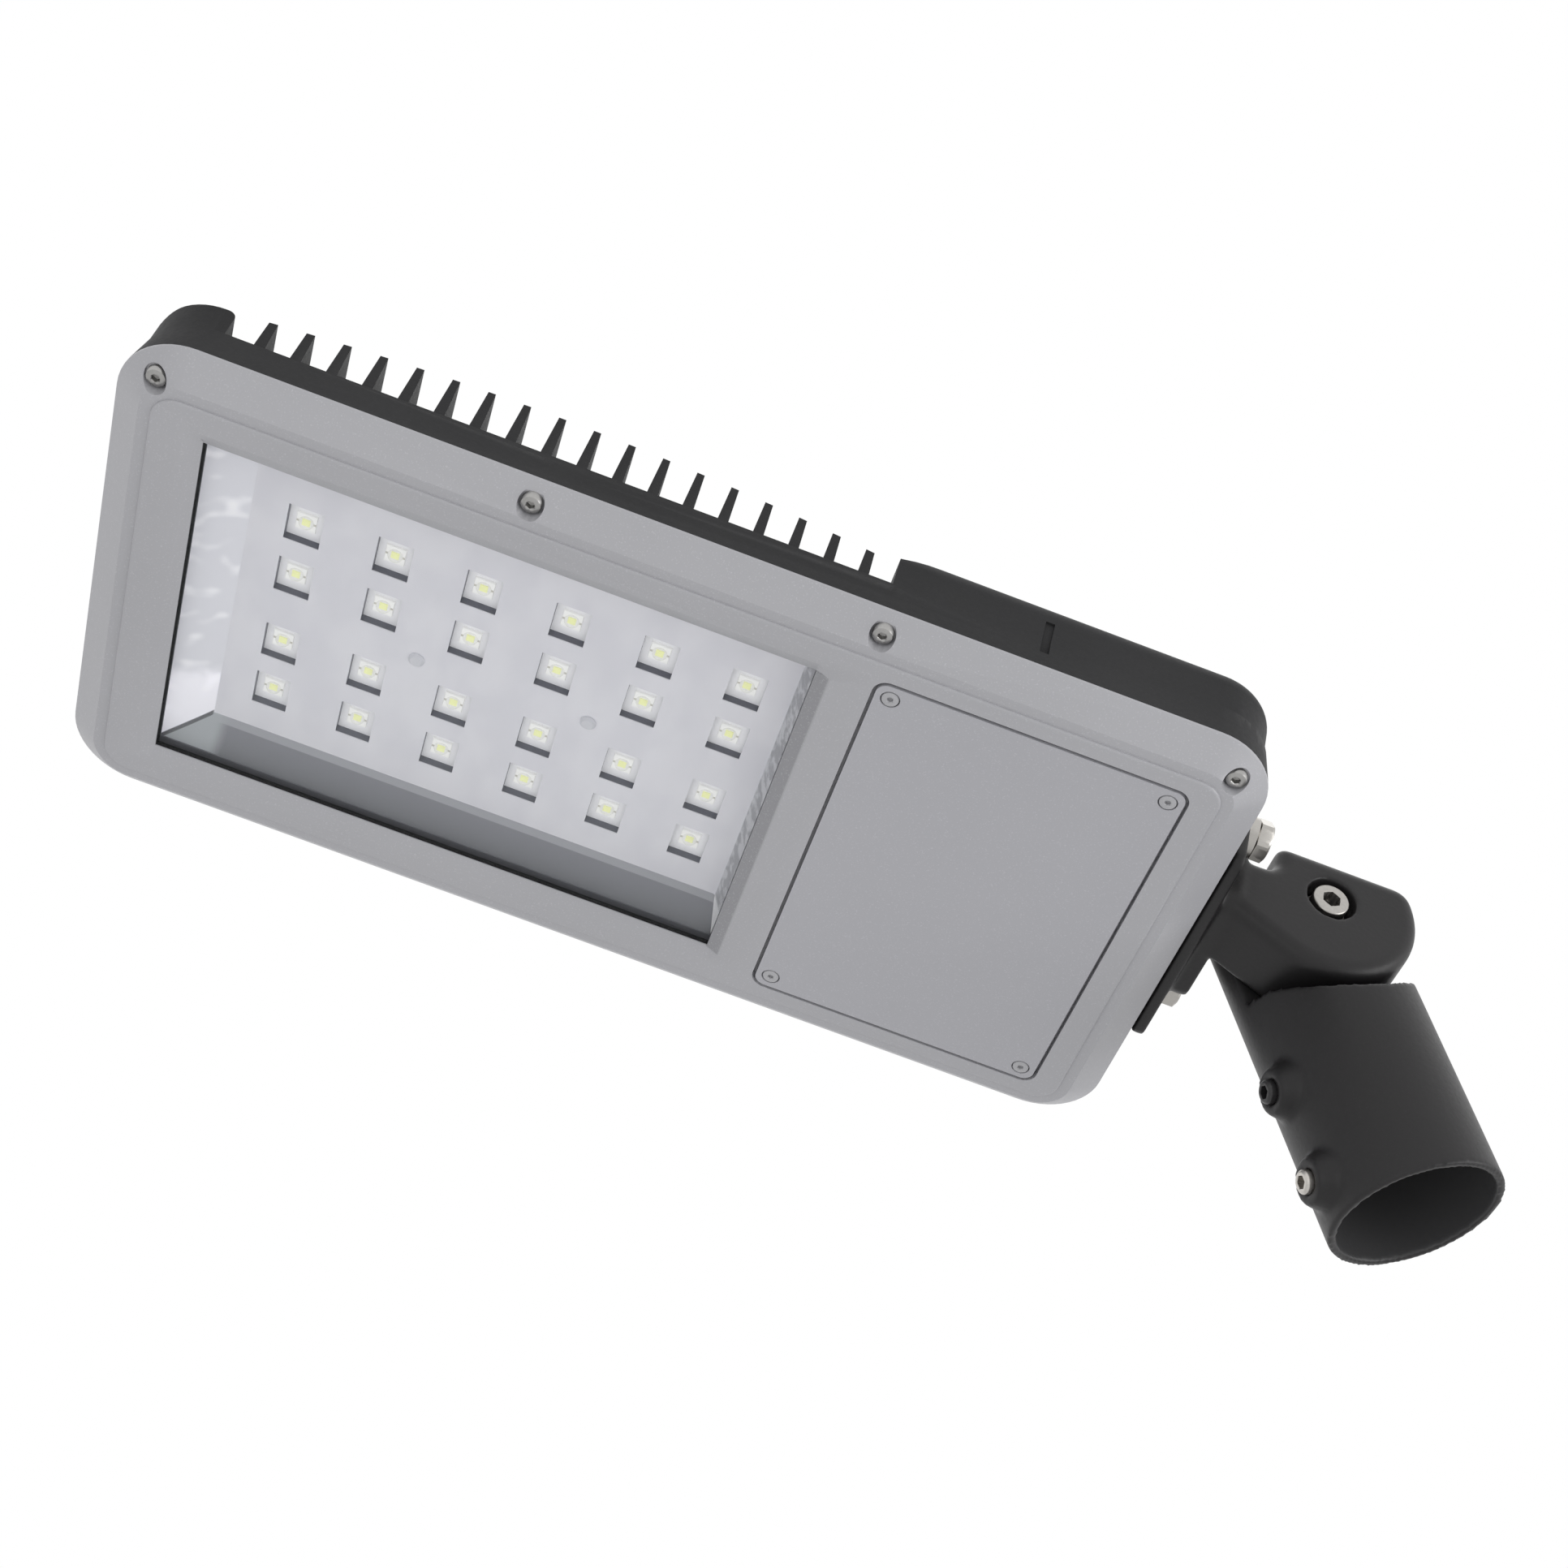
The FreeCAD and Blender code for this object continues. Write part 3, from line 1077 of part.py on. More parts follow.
def build_spigot():
    """The pole spigot: a bored tube with a hollowed top, whose far half rises as a round-ended lug."""
    body = new_body("pole_spigot", "spigot")
    tube = sketch(body, "XY", "mouth_z")
    circle(tube, "0", "0", "tube_outer")
    pad(body, tube, "tube_outer / 2 - mouth_z")
    shelf = sketch(body, "XZ", "-lap_gap / 2")
    outline(shelf, [
        ("-dish_half", "-dish_low"), ("dish_half", "-dish_low", "dish_radius"),
        ("dish_half", "tube_outer"), ("-dish_half", "tube_outer"),
    ])
    pocket(body, shelf, "tube_outer", ahead=True)
    crown = sketch(body, "XZ")
    radius = "tube_outer / 2"
    outline(crown, [
        (f"-{radius} - 2", "0"), (f"-{radius}", "0"),
        ("0", radius, f"-{radius}"), (radius, "0", f"-{radius}"),
        (f"{radius} + 2", "0"), (f"{radius} + 2", "tube_outer"), (f"-{radius} - 2", "tube_outer"),
    ])
    pocket(body, crown, "2 * tube_outer", both=True)
    for along in ("set_first", "set_second"):
        wide = sketch(body, "YZ", "-tube_bore / 2")
        circle(wide, "0", f"mouth_z + {along}", "set_boss_base")
        narrow = sketch(body, "YZ", "-tube_outer / 2 - set_boss_height")
        circle(narrow, "0", f"mouth_z + {along}", "set_boss")
        loft(body, [wide, narrow])
    bore = sketch(body, "XY", "mouth_z")
    circle(bore, "0", "0", "tube_bore")
    pocket(body, bore, "bore_top - mouth_z", ahead=True)
    ring = sketch(body, "XZ", "-lap_gap / 2")
    circle(ring, "0", "0", "ring_outer")
    circle(ring, "0", "0", "ring_inner")
    pocket(body, ring, "cable_room")
    way = sketch(body, "XY", "bore_top - 1")
    circle(way, "0", "(lap_gap + cable_room) / 2 + 1", "cable_way")
    pocket(body, way, "1 - bore_top - (ring_outer + ring_inner) / 4", ahead=True)
    pin = sketch(body, "XZ")
    circle(pin, "0", "0", "pivot_bolt_size + pivot_clearance")
    pocket(body, pin, "2 * tube_outer", both=True)
    sink = sketch(body, "XZ", "-nut_seat")
    circle(sink, "0", "0", "nut_recess")
    pocket(body, sink, "tube_outer / 2")
    taps = sketch(body, "YZ", "-tube_outer / 2 - set_boss_height - 1")
    for along in ("set_first", "set_second"):
        circle(taps, "0", f"mouth_z + {along}", "set_screw + thread_clearance")
    pocket(body, taps, "tube_outer / 3", ahead=True)
    keep(body)

    form = new_body("set_screw_form", "spigot")
    profile = sketch(form, "XY")
    outline(profile, [
        ("0", "0"), ("0", "set_screw / 2 - 0.8"), ("0.8", "set_screw / 2"),
        ("set_screw_length - 1.5", "set_screw / 2"), ("set_screw_length", "set_screw / 2 - 1.5"),
        ("set_screw_length", "0"),
    ])
    revolve(form, profile, "H_Axis")
    key = sketch(form, "YZ")
    hexagon(key, "0", "0", "4")
    pocket(form, key, "4", ahead=True)
    start = "(-tube_bore / 2 - set_screw_back - set_screw_length)"
    group("spigot_set_screws", form, [
        (f"pivot_world_x + {start} * sin(spigot_angle) - (mouth_z + {along}) * cos(spigot_angle)", "0",
         f"pivot_world_z + {start} * cos(spigot_angle) + (mouth_z + {along}) * sin(spigot_angle)")
        for along in ("set_first", "set_second")])


def build_arm():
    """The bracket: flange, raised foot and the near half of the lap joint."""
    body = new_body("bracket_arm", "pivot")
    lug = sketch(body, "XZ", "lap_gap / 2")
    floor = "(lug_top - lug_notch_depth)"
    outline(lug, [
        ("flange_x - 1", "-(lug_radius + (flange_x - 1) * cos(lug_lean)) / sin(lug_lean)"),
        ("-lug_radius * cos(lug_lean)", "-lug_radius * sin(lug_lean)"),
        ("lug_reach * lug_share", "(lug_top - lug_corner) * lug_share", "lug_radius"),
        ("lug_reach", "lug_top", "lug_corner"),
        ("lug_back_corner - lug_back", "lug_top"),
        ("-lug_back", "lug_top - lug_back_corner", "lug_back_corner"),
        ("-lug_back", f"{floor} + lug_notch_corner"),
        ("-lug_back - lug_notch_corner", floor, "-lug_notch_corner"),
        ("flange_x - 1", floor),
    ])
    pad(body, lug, "lug_side - lap_gap / 2")
    near, back = -num("lug_side"), num("-lug_back")
    fillet(body, "lug_edge", lambda box: abs(box.YMin - near) < 1e-4 and box.YLength < 1e-4
           and (box.ZMax < 0 or box.XMax > back + 5))
    low, high = "(bracket_bottom - pivot_height)", "(bracket_top - pivot_height)"
    flange = sketch(body, "YZ", "-pivot_reach")
    rounded(flange, "-bracket_width / 2", "bracket_width / 2", low, high, "bracket_corner")
    pad(body, flange, "bracket_pad")
    foot = sketch(body, "YZ", "flange_x - 1")
    rounded(foot, "-lug_side - foot_step", "foot_side", f"{low} + foot_margin", f"{high} - foot_margin",
            "foot_corner")
    pad(body, foot, "bracket_foot + 1")
    pin = sketch(body, "XZ")
    circle(pin, "0", "0", "pivot_bolt_size + pivot_clearance")
    pocket(body, pin, "2 * tube_outer", both=True)
    sink = sketch(body, "XZ", "lug_side - pivot_recess_depth")
    circle(sink, "0", "0", "pivot_recess")
    pocket(body, sink, "tube_outer", ahead=True)
    bolts = sketch(body, "YZ", "-pivot_reach - 1")
    for side in ("-", ""):
        circle(bolts, f"{side}bracket_bolt_side", "bracket_bolt_height - pivot_height",
               "bracket_bolt + pass_clearance")
    pocket(body, bolts, "bracket_pad + 2", ahead=True)
    run = sketch(body, "YZ", "-pivot_reach - 1")
    circle(run, "-cable_side", "-cable_drop", "cable_way")
    pocket(body, run, "pivot_reach - room_far + 2", ahead=True)
    room = sketch(body, "XZ", "lap_gap / 2")
    rounded(room, "-room_far", "-room_near", "-cable_drop - room_half", "room_half - cable_drop", "2")
    pocket(body, room, "cable_room", ahead=True)
    return keep(body)


def build_bracket_fixings():
    seal = new_body("bracket_gasket", "pivot")
    sheet_edge = sketch(seal, "YZ", "-pivot_reach - bracket_seal")
    rounded(sheet_edge, "-bracket_width / 2 + 1", "bracket_width / 2 - 1",
            "bracket_bottom - pivot_height + 1", "bracket_top - pivot_height - 1", "4")
    for side in ("-", ""):
        circle(sheet_edge, f"{side}bracket_bolt_side", "bracket_bolt_height - pivot_height",
               "bracket_bolt + pass_clearance")
    circle(sheet_edge, "-cable_side", "-cable_drop", "grommet_groove")
    pad(seal, sheet_edge, "bracket_seal")
    keep(seal)

    spots = [(f"{side}bracket_bolt_side") for side in ("-", "")]
    z = "pivot_world_z + bracket_bolt_height - pivot_height"
    form = new_body("bracket_bolt_form", "pivot")
    head = sketch(form, "YZ")
    hexagon(head, "0", "0", "bracket_bolt_across")
    pad(form, head, "bracket_bolt_head")
    shank = sketch(form, "YZ")
    circle(shank, "0", "0", "bracket_bolt")
    pad(form, shank, "bracket_bolt_length", back=True)
    group("bracket_bolts", form, [("pivot_world_x + bolt_seat_x", y, z) for y in spots])
    for name, outer, thick, start in (
            ("bracket_washers", "washer_outer", "washer_thickness", "flange_x"),
            ("bracket_spring_washers", "spring_outer", "spring_thickness", "flange_x + washer_thickness")):
        form = new_body(name + "_form", "pivot")
        ring = sketch(form, "YZ")
        circle(ring, "0", "0", outer)
        circle(ring, "0", "0", "bracket_bolt + pass_clearance")
        pad(form, ring, thick)
        group(name, form, [(f"pivot_world_x + {start}", y, z) for y in spots])


def build_pivot():
    """The cap screw through both lugs, with its washers and nut."""
    seat = "(-lug_side + pivot_recess_depth - washer_thickness)"
    bolt = new_body("pivot_bolt", "pivot")
    head = sketch(bolt, "XZ", f"-{seat}")
    circle(head, "0", "0", "pivot_bolt_head")
    pad(bolt, head, "pivot_bolt_size")
    shank = sketch(bolt, "XZ", f"-{seat}")
    circle(shank, "0", "0", "pivot_bolt_size")
    pad(bolt, shank, f"nut_seat + washer_thickness + nut_height + 1.2 - {seat}", back=True)
    key = sketch(bolt, "XZ", f"-{seat} + pivot_bolt_size")
    hexagon(key, "0", "0", "6")
    pocket(bolt, key, "4.5")
    near = num(seat) - num("pivot_bolt_size")
    fillet(bolt, "0.8", lambda box: abs(box.YMin - near) < 1e-4 and box.YLength < 1e-4 and box.XLength > 10)
    keep(bolt)

    for name, face in (("pivot_head_washer", seat), ("pivot_nut_washer", "nut_seat")):
        washer = new_body(name, "pivot")
        ring = sketch(washer, "XZ", f"-{face}")
        circle(ring, "0", "0", "washer_outer")
        circle(ring, "0", "0", "pivot_bolt_size + pass_clearance")
        pad(washer, ring, "washer_thickness", back=True)
        keep(washer)

    nut = new_body("pivot_nut", "pivot")
    ring = sketch(nut, "XZ", "-nut_seat - washer_thickness")
    hexagon(ring, "0", "0", "nut_across")
    circle(ring, "0", "0", "pivot_bolt_size + thread_clearance")
    pad(nut, ring, "nut_height", back=True)
    keep(nut)


def check_and_write():
    """Stop on any failed feature or bad shape, then write one file for each piece."""
    doc.recompute()
    failed = [item.Label for item in doc.Objects if {"Invalid", "Error"} & set(item.State)]
    if failed:
        raise RuntimeError("failed: " + ", ".join(failed))
    for name, item in SHAPES.items():
        shape = item.Shape
        if shape.isNull() or not shape.isValid() or not shape.Solids:
            raise RuntimeError(f"{name} has no valid solid")
    os.makedirs("parts", exist_ok=True)
    for name, item in SHAPES.items():
        item.Shape.exportStep(f"parts/{name}.step")
        box = item.Shape.BoundBox
        print(f"{name}: {len(item.Shape.Solids)} solid, {item.Shape.Volume / 1000:.2f} cm3, "
              f"{box.XLength:.1f} x {box.YLength:.1f} x {box.ZLength:.1f} mm")


fill_sheet()
build_housing()
build_frame()
build_gasket()
build_glass()
build_tray()
build_light_engine()
build_cover()
build_screws()
build_driver()
build_terminals()
build_grommets()
build_spigot()
build_arm()
build_bracket_fixings()
build_pivot()
check_and_write()
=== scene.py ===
# %% [markdown]
# # A street light head, looked at from below
#
# The object is an LED street light head on a tilting pole spigot. The drawing office has already
# settled every solid, so this lesson loads those solids as a fixed frame and only adds what makes
# them look real: smooth edges, paint, rubber, steel, glass and light. Everything is in metres.

# %% Load the frame
import json
import math

import bmesh
import bpy
from mathutils import Matrix, Vector


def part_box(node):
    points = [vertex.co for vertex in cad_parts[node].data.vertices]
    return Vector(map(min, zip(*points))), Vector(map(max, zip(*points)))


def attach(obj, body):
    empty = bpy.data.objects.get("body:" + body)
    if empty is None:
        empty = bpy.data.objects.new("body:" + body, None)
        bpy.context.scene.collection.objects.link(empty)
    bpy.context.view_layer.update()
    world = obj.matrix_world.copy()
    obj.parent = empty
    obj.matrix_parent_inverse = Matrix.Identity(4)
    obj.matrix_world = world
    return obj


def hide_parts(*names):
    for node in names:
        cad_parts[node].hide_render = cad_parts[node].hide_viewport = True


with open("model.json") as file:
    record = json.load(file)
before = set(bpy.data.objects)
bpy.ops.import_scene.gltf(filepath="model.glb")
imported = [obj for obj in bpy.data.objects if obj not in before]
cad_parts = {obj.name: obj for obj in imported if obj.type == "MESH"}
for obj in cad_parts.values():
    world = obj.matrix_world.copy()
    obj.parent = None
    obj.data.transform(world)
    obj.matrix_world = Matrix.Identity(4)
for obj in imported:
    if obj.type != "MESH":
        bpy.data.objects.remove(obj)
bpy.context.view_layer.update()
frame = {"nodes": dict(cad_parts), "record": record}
nodes = frame["nodes"]

# %% [markdown]
# ## The camera
#
# The photograph looks up at the head from its near side and is tilted a little. A camera is three
# angles and a place: which way it faces, how far it looks up, and how far it rolls about its own
# line of sight. Writing those angles down reads better than a matrix of nine numbers.

# %% Camera
PHOTO_PIXELS = 1932
FOCAL_PIXELS = 3375.9
OPTICAL_CENTRE = (1065.9, 1020.6)
CAMERA_PLACE = Vector((-0.2658, -0.6456, -0.5716))
FACING_DEGREES = 5.356
UPWARD_DEGREES = 45.079
ROLL_DEGREES = 16.376
SENSOR = 36.0


def camera_axes(facing, upward, roll):
    """Right, up and backward directions of a camera that faces +Y at zero."""
    across, rise, turn = (math.radians(angle) for angle in (facing, upward, roll))
    ahead = Vector((math.sin(across) * math.cos(rise), math.cos(across) * math.cos(rise), math.sin(rise)))
    level = ahead.cross(Vector((0, 0, 1))).normalized()
    above = level.cross(ahead)
    right = level * math.cos(turn) + above * math.sin(turn)
    return right, right.cross(ahead), -ahead


lens = bpy.data.cameras.new("camera")
lens.sensor_width = SENSOR
lens.lens = FOCAL_PIXELS * SENSOR / PHOTO_PIXELS
lens.shift_x = 0.5 - OPTICAL_CENTRE[0] / PHOTO_PIXELS
lens.shift_y = OPTICAL_CENTRE[1] / PHOTO_PIXELS - 0.5
camera = bpy.data.objects.new("camera", lens)
bpy.context.scene.collection.objects.link(camera)
turned = Matrix(camera_axes(FACING_DEGREES, UPWARD_DEGREES, ROLL_DEGREES)).transposed()
camera.matrix_world = Matrix.Translation(CAMERA_PLACE) @ turned.to_4x4()
bpy.context.scene.camera = camera
print("lens", round(lens.lens, 2), "mm")

# %% [markdown]
# ## Writing a shader as a sum
#
# A material is a graph of nodes, but a graph is hard to read in a script. The small class below
# wraps one socket and lets Python's own signs build the graph: `1 - mask * 0.3` adds the two Math
# nodes that it means. `Finish` holds one material and makes any other node from its type, its
# settings and its inputs.

# %% Shader helpers
FIRST_COLOUR, SECOND_COLOUR, MIXED_COLOUR = 6, 7, 2   # a Mix node has sockets that share a name


class Field:
    """One output of a shader node."""

    def __init__(self, finish, socket):
        self.finish = finish
        self.socket = socket

    def math(self, operation, *others):
        return self.finish.node("Math", {"operation": operation}, [self, *others])

    def __add__(self, other):
        return self.math("ADD", other)

    def __sub__(self, other):
        return self.math("SUBTRACT", other)

    def __mul__(self, other):
        return self.math("MULTIPLY", other)

    def __rsub__(self, other):
        return self.finish.node("Math", {"operation": "SUBTRACT"}, [other, self])

    __radd__ = __add__
    __rmul__ = __mul__

    def between(self, low, high, soft):
        """1 between low and high, and a soft step beside each."""
        return self.above(low - soft, low) * (1 - self.above(high, high + soft))

    def above(self, low, high):
        """0 below low, 1 above high, and a soft step between."""
        return self.finish.node("MapRange", {"interpolation_type": "SMOOTHSTEP"},
                                {"Value": self, "From Min": low, "From Max": high})


class Finish:
    """A material, built a node at a time."""

    def __init__(self, name):
        self.material = bpy.data.materials.new(name)
        self.material.use_nodes = True
        self.tree = self.material.node_tree
        self.shader = self.tree.nodes["Principled BSDF"]

    def node(self, kind, settings=None, inputs=None, output=0):
        """Any node: its type, its settings, and the values or links of its sockets."""
        item = self.tree.nodes.new("ShaderNode" + kind)
        for key, value in (settings or {}).items():
            setattr(item, key, value)
        pairs = inputs.items() if isinstance(inputs, dict) else enumerate(inputs or [])
        for key, value in pairs:
            self.feed(item.inputs[key], value)
        return Field(self, item.outputs[output])

    def feed(self, socket, value):
        if isinstance(value, Field):
            self.tree.links.new(value.socket, socket)
        elif socket.type == "RGBA":
            socket.default_value = (*value, 1.0)[:4]
        else:
            socket.default_value = value

    def set(self, **values):
        """Inputs of the main shader, with spaces for underscores."""
        for key, value in values.items():
            self.feed(self.shader.inputs[key.replace("_", " ")], value)
        return self

    def along(self, axis):
        """How far a point lies along X, Y or Z, in metres."""
        return self.node("SeparateXYZ", {}, {"Vector": self.node("TexCoord", output="Object")}, axis)

    def noise(self, size, detail, stretch=(1, 1, 1)):
        """Soft random field with features of about this size in metres."""
        coords = self.node("TexCoord", output="Object")
        place = self.node("Mapping", {}, {"Vector": coords, "Scale": stretch})
        return self.node("TexNoise", {}, {"Vector": place, "Scale": 1 / size, "Detail": detail})

    def blend(self, mask, first, second):
        """Colour that goes from first to second as the mask goes from 0 to 1."""
        inputs = {"Factor": mask, FIRST_COLOUR: first, SECOND_COLOUR: second}
        return self.node("Mix", {"data_type": "RGBA"}, inputs, MIXED_COLOUR)

    def bump(self, height, depth, strength):
        """Surface relief: height from 0 to 1, depth in metres."""
        self.feed(self.shader.inputs["Normal"],
                  self.node("Bump", {}, {"Height": height, "Distance": depth, "Strength": strength}))
        return self


def srgb(*values):
    """A colour read as 0 to 255 on screen, as the linear value a shader needs."""
    return tuple(((v / 255 + 0.055) / 1.055) ** 2.4 if v > 10 else v / 255 / 12.92 for v in values)


print("a mid grey of 165 is", [round(v, 3) for v in srgb(165, 165, 165)])

# %% [markdown]
# ## Powder coat
#
# The castings and the cover plate are powder coated. The powder melts into a skin with a fine orange
# peel, and a grey one holds tiny metal flakes. Close up that is three fields: a slow drift of tone,
# the peel as relief, and flakes as small bright points. One function makes all the coats.
#
# Two places get painted light and shade: the wall of the pole socket is painted lighter than the coat, as
# painted light, and the slope at the pole end of the window is painted darker than the face, as painted
# shade. A mask from their measures does that without cutting the mesh, and it stays with the metal from
# every side.

# %% Places with painted light and shade
WALL_FROM, WALL_TO = 0.0001, 0.0006             # how deep into the wall the tone fades out
BORE_END_STEP = 0.0005
CHAMFER_FROM, CHAMFER_TO = -0.0035, 0.0015      # along the head, from the end of the glass
CHAMFER_HALF, CHAMFER_SIDE_STEP = 0.0695, 0.0007
CHAMFER_EDGE_STEP = 0.0002
RISE_FROM, RISE_TO = 0.0001, 0.0004             # above the lit face


def bore_painted_light(finish):
    """1 on the wall of the pole socket, whose axis, radius and depth the record gives. It gets a painted
    light.
    """
    socket = frame["record"]["mounts"][0]
    lean_x, _, lean_z = socket["axis"]
    radius, depth = socket["dims"]["r_mm"] / 1000, socket["dims"]["length_mm"] / 1000
    x, y, z = (finish.along(axis) for axis in "XYZ")
    across = z * lean_x - x * lean_z
    beside = (across * across + y * y).above((radius + WALL_FROM) ** 2, (radius + WALL_TO) ** 2)
    beyond = (x * -lean_x - z * lean_z).above(depth, depth + BORE_END_STEP)
    return (1 - beside) * (1 - beyond)


def chamfer_painted_shade(finish):
    """1 on the slope at the pole end of the window, which gets a painted shade."""
    glass_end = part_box("window_glass")[1][0]
    face_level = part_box("front_frame")[0][2]
    x, y, z = (finish.along(axis) for axis in "XYZ")
    along = x.between(glass_end + CHAMFER_FROM, glass_end + CHAMFER_TO, CHAMFER_EDGE_STEP)
    across = 1 - (y * y).above(CHAMFER_HALF ** 2, (CHAMFER_HALF + CHAMFER_SIDE_STEP) ** 2)
    return along * across * z.above(face_level + RISE_FROM, face_level + RISE_TO)


# %% Powder coats
PEEL_SIZE, FLAKE_SIZE, DRIFT_SIZE = 0.0016, 0.0005, 0.09


def powder_coat(name, colour, flake, roughness, peel, drift, gloss=1.5, where=None, other=None):
    """A paint skin. Flake is how much its flakes show, peel is how deep its relief is in metres, drift is
    how far its tone wanders, gloss is its index of refraction. Where the mask is 1, the tone is the other
    one, which is painted light on the pole socket and painted shade on the window chamfer."""
    finish = Finish(name)
    slow = finish.noise(DRIFT_SIZE, 3.0)
    grain = finish.noise(PEEL_SIZE, 2.0)
    flakes = finish.noise(FLAKE_SIZE, 1.0).above(0.62, 0.72)
    darker = tuple(v * (1 - drift) for v in colour)
    lighter = tuple(min(v * (1 + drift), 1) for v in colour)
    tone = finish.blend(slow.above(0.3, 0.7), darker, lighter)
    if where:
        tone = finish.blend(where(finish), tone, other)
    glint = tuple(min(v * 1.3 + 0.02, 1) for v in colour)
    finish.set(Base_Color=finish.blend(flakes * flake, tone, glint),
               Roughness=roughness + grain * 0.14 - 0.07,
               IOR=gloss)
    return finish.bump(grain, peel, 0.6).material


# painted shade: the slope at the pole end of the window gets the darker tone 147
grey_coat = powder_coat("grey_powder_coat", srgb(171, 171, 175), flake=0.5, roughness=0.42,
                        peel=0.00005, drift=0.02, where=chamfer_painted_shade, other=srgb(147, 147, 151))
cover_coat = powder_coat("cover_powder_coat", srgb(172, 172, 177), flake=0.5, roughness=0.45,
                         peel=0.00004, drift=0.015)
screw_coat = powder_coat("cover_screw_coat", srgb(172, 172, 175), flake=0.4, roughness=0.35,
                         peel=0.00003, drift=0.03)
dark_coat = powder_coat("dark_powder_coat", srgb(48, 48, 49), flake=0.2, roughness=0.6,
                        peel=0.0001, drift=0.1, gloss=1.22)
arm_coat = powder_coat("arm_powder_coat", srgb(33, 32, 33), flake=0.15, roughness=0.44,
                       peel=0.00008, drift=0.1, gloss=1.4)
# painted light: the wall of the pole socket gets the lighter tone 64 instead of 33
spigot_coat = powder_coat("spigot_powder_coat", srgb(33, 32, 33), flake=0.15, roughness=0.44,
                          peel=0.00008, drift=0.1, gloss=1.4, where=bore_painted_light,
                          other=srgb(64, 64, 65))
print("powder coats, the grey one", [round(v, 3) for v in srgb(171, 171, 175)])

# %% [markdown]
# ## Steel and zinc
#
# The screws are stainless steel or zinc plated, and turning leaves marks on them that are about a
# millimetre long. One noise field gives tone, roughness and relief together, so a bright mark is also a
# rough one, as a scratch is. Two screws change from place to place: the socket of the pivot bolt is
# painted dark, a painted shade in its recess, and the upper set screw is given a dark tone that is not
# metallic. The distance from the pivot and the height above the mouth are enough to tell those places
# apart.

# %% Bare metal
PIVOT = Vector(frame["record"]["behaviour"]["joints"][0]["pos_m"])
SOCKET_REACH = 0.0031        # from the pivot's axis to the edge of the socket
UPPER_SET_SCREW = 0.015      # height between the lower and the upper set screw
MARK_SIZE, MARK_DEPTH = 0.0011, 0.00002


def satin_steel(name, colour, roughness, brush=(1, 1, 1)):
    """Machined metal, with faint turning marks."""
    finish = Finish(name)
    marks = finish.noise(MARK_SIZE, 3.0, brush)
    finish.set(Base_Color=finish.blend(marks, tuple(v * 0.82 for v in colour), colour),
               Metallic=1.0, Roughness=roughness + marks * 0.18)
    return finish.bump(marks, MARK_DEPTH, 0.4).material


def pivot_steel():
    """Zinc plate with its socket painted dark, a painted shade in the recess."""
    finish = Finish("pivot_zinc")
    marks = finish.noise(MARK_SIZE, 3.0)
    across, rise = finish.along("X") - PIVOT.x, finish.along("Z") - PIVOT.z
    rim = (across * across + rise * rise).above(SOCKET_REACH ** 2 * 0.9, SOCKET_REACH ** 2 * 1.1)
    bright = finish.blend(marks, srgb(166, 164, 160), srgb(194, 191, 186))
    # painted shade: inside the socket the tone is dark, as the shade in the recess
    finish.set(Base_Color=finish.blend(rim, srgb(70, 68, 66), bright), Metallic=rim * 0.5 + 0.5,
               Roughness=0.5 - rim * 0.2 + marks * 0.15)
    return finish.bump(marks, MARK_DEPTH, 0.4).material


def set_screw_steel():
    """Zinc plate, with a dark tone that is not metallic on the upper screw."""
    finish = Finish("set_screw_zinc")
    marks = finish.noise(MARK_SIZE, 3.0)
    painted = finish.along("Z").above(UPPER_SET_SCREW - 0.001, UPPER_SET_SCREW + 0.001)
    bright = finish.blend(marks, srgb(190, 187, 182), srgb(214, 210, 204))
    # the upper set screw gets a dark tone that is not metallic
    finish.set(Base_Color=finish.blend(painted, bright, srgb(38, 37, 38)), Metallic=1 - painted,
               Roughness=0.3 + marks * 0.15)
    return finish.bump(marks, MARK_DEPTH, 0.4).material


steel = satin_steel("satin_steel", srgb(180, 179, 177), 0.24)
zinc = satin_steel("zinc_plate", srgb(196, 193, 188), 0.3, brush=(1, 6, 1))
tinned = satin_steel("tinned_pads", srgb(232, 230, 222), 0.4)
pivot_zinc, set_screw_zinc = pivot_steel(), set_screw_steel()
print("pivot at", [round(v, 4) for v in PIVOT])

# %% [markdown]
# ## Rubber, plastic and ceramic
#
# Seals are black rubber with a fine matt skin. The window's seal has its upper lip along the long sides
# painted grey, in the tone of the painted reflection on the reflector's far slope. White plastic and
# ceramic get a little emission in their own colour, a painted light, so that the board and the light
# sources stay white at the bottom of their holes instead of lying in shade.

# %% Rubber, plastic and ceramic
SKIN_SIZE, SKIN_DEPTH = 0.0008, 0.00004
LIP_FROM, LIP_TO = 0.0009, 0.0007                  # below the top of the seal
LIP_SIDE_FROM, LIP_SIDE_TO = 0.0028, 0.0025        # in from its long sides
LIP_END_FROM, LIP_END_TO = 0.0052, 0.0055          # in from its tip


def rubber(name, colour, roughness=0.62):
    finish = Finish(name)
    skin = finish.noise(SKIN_SIZE, 3.0)
    finish.set(Base_Color=finish.blend(skin, tuple(v * 0.8 for v in colour), colour),
               Roughness=roughness + skin * 0.15)
    return finish.bump(skin, SKIN_DEPTH, 0.5).material


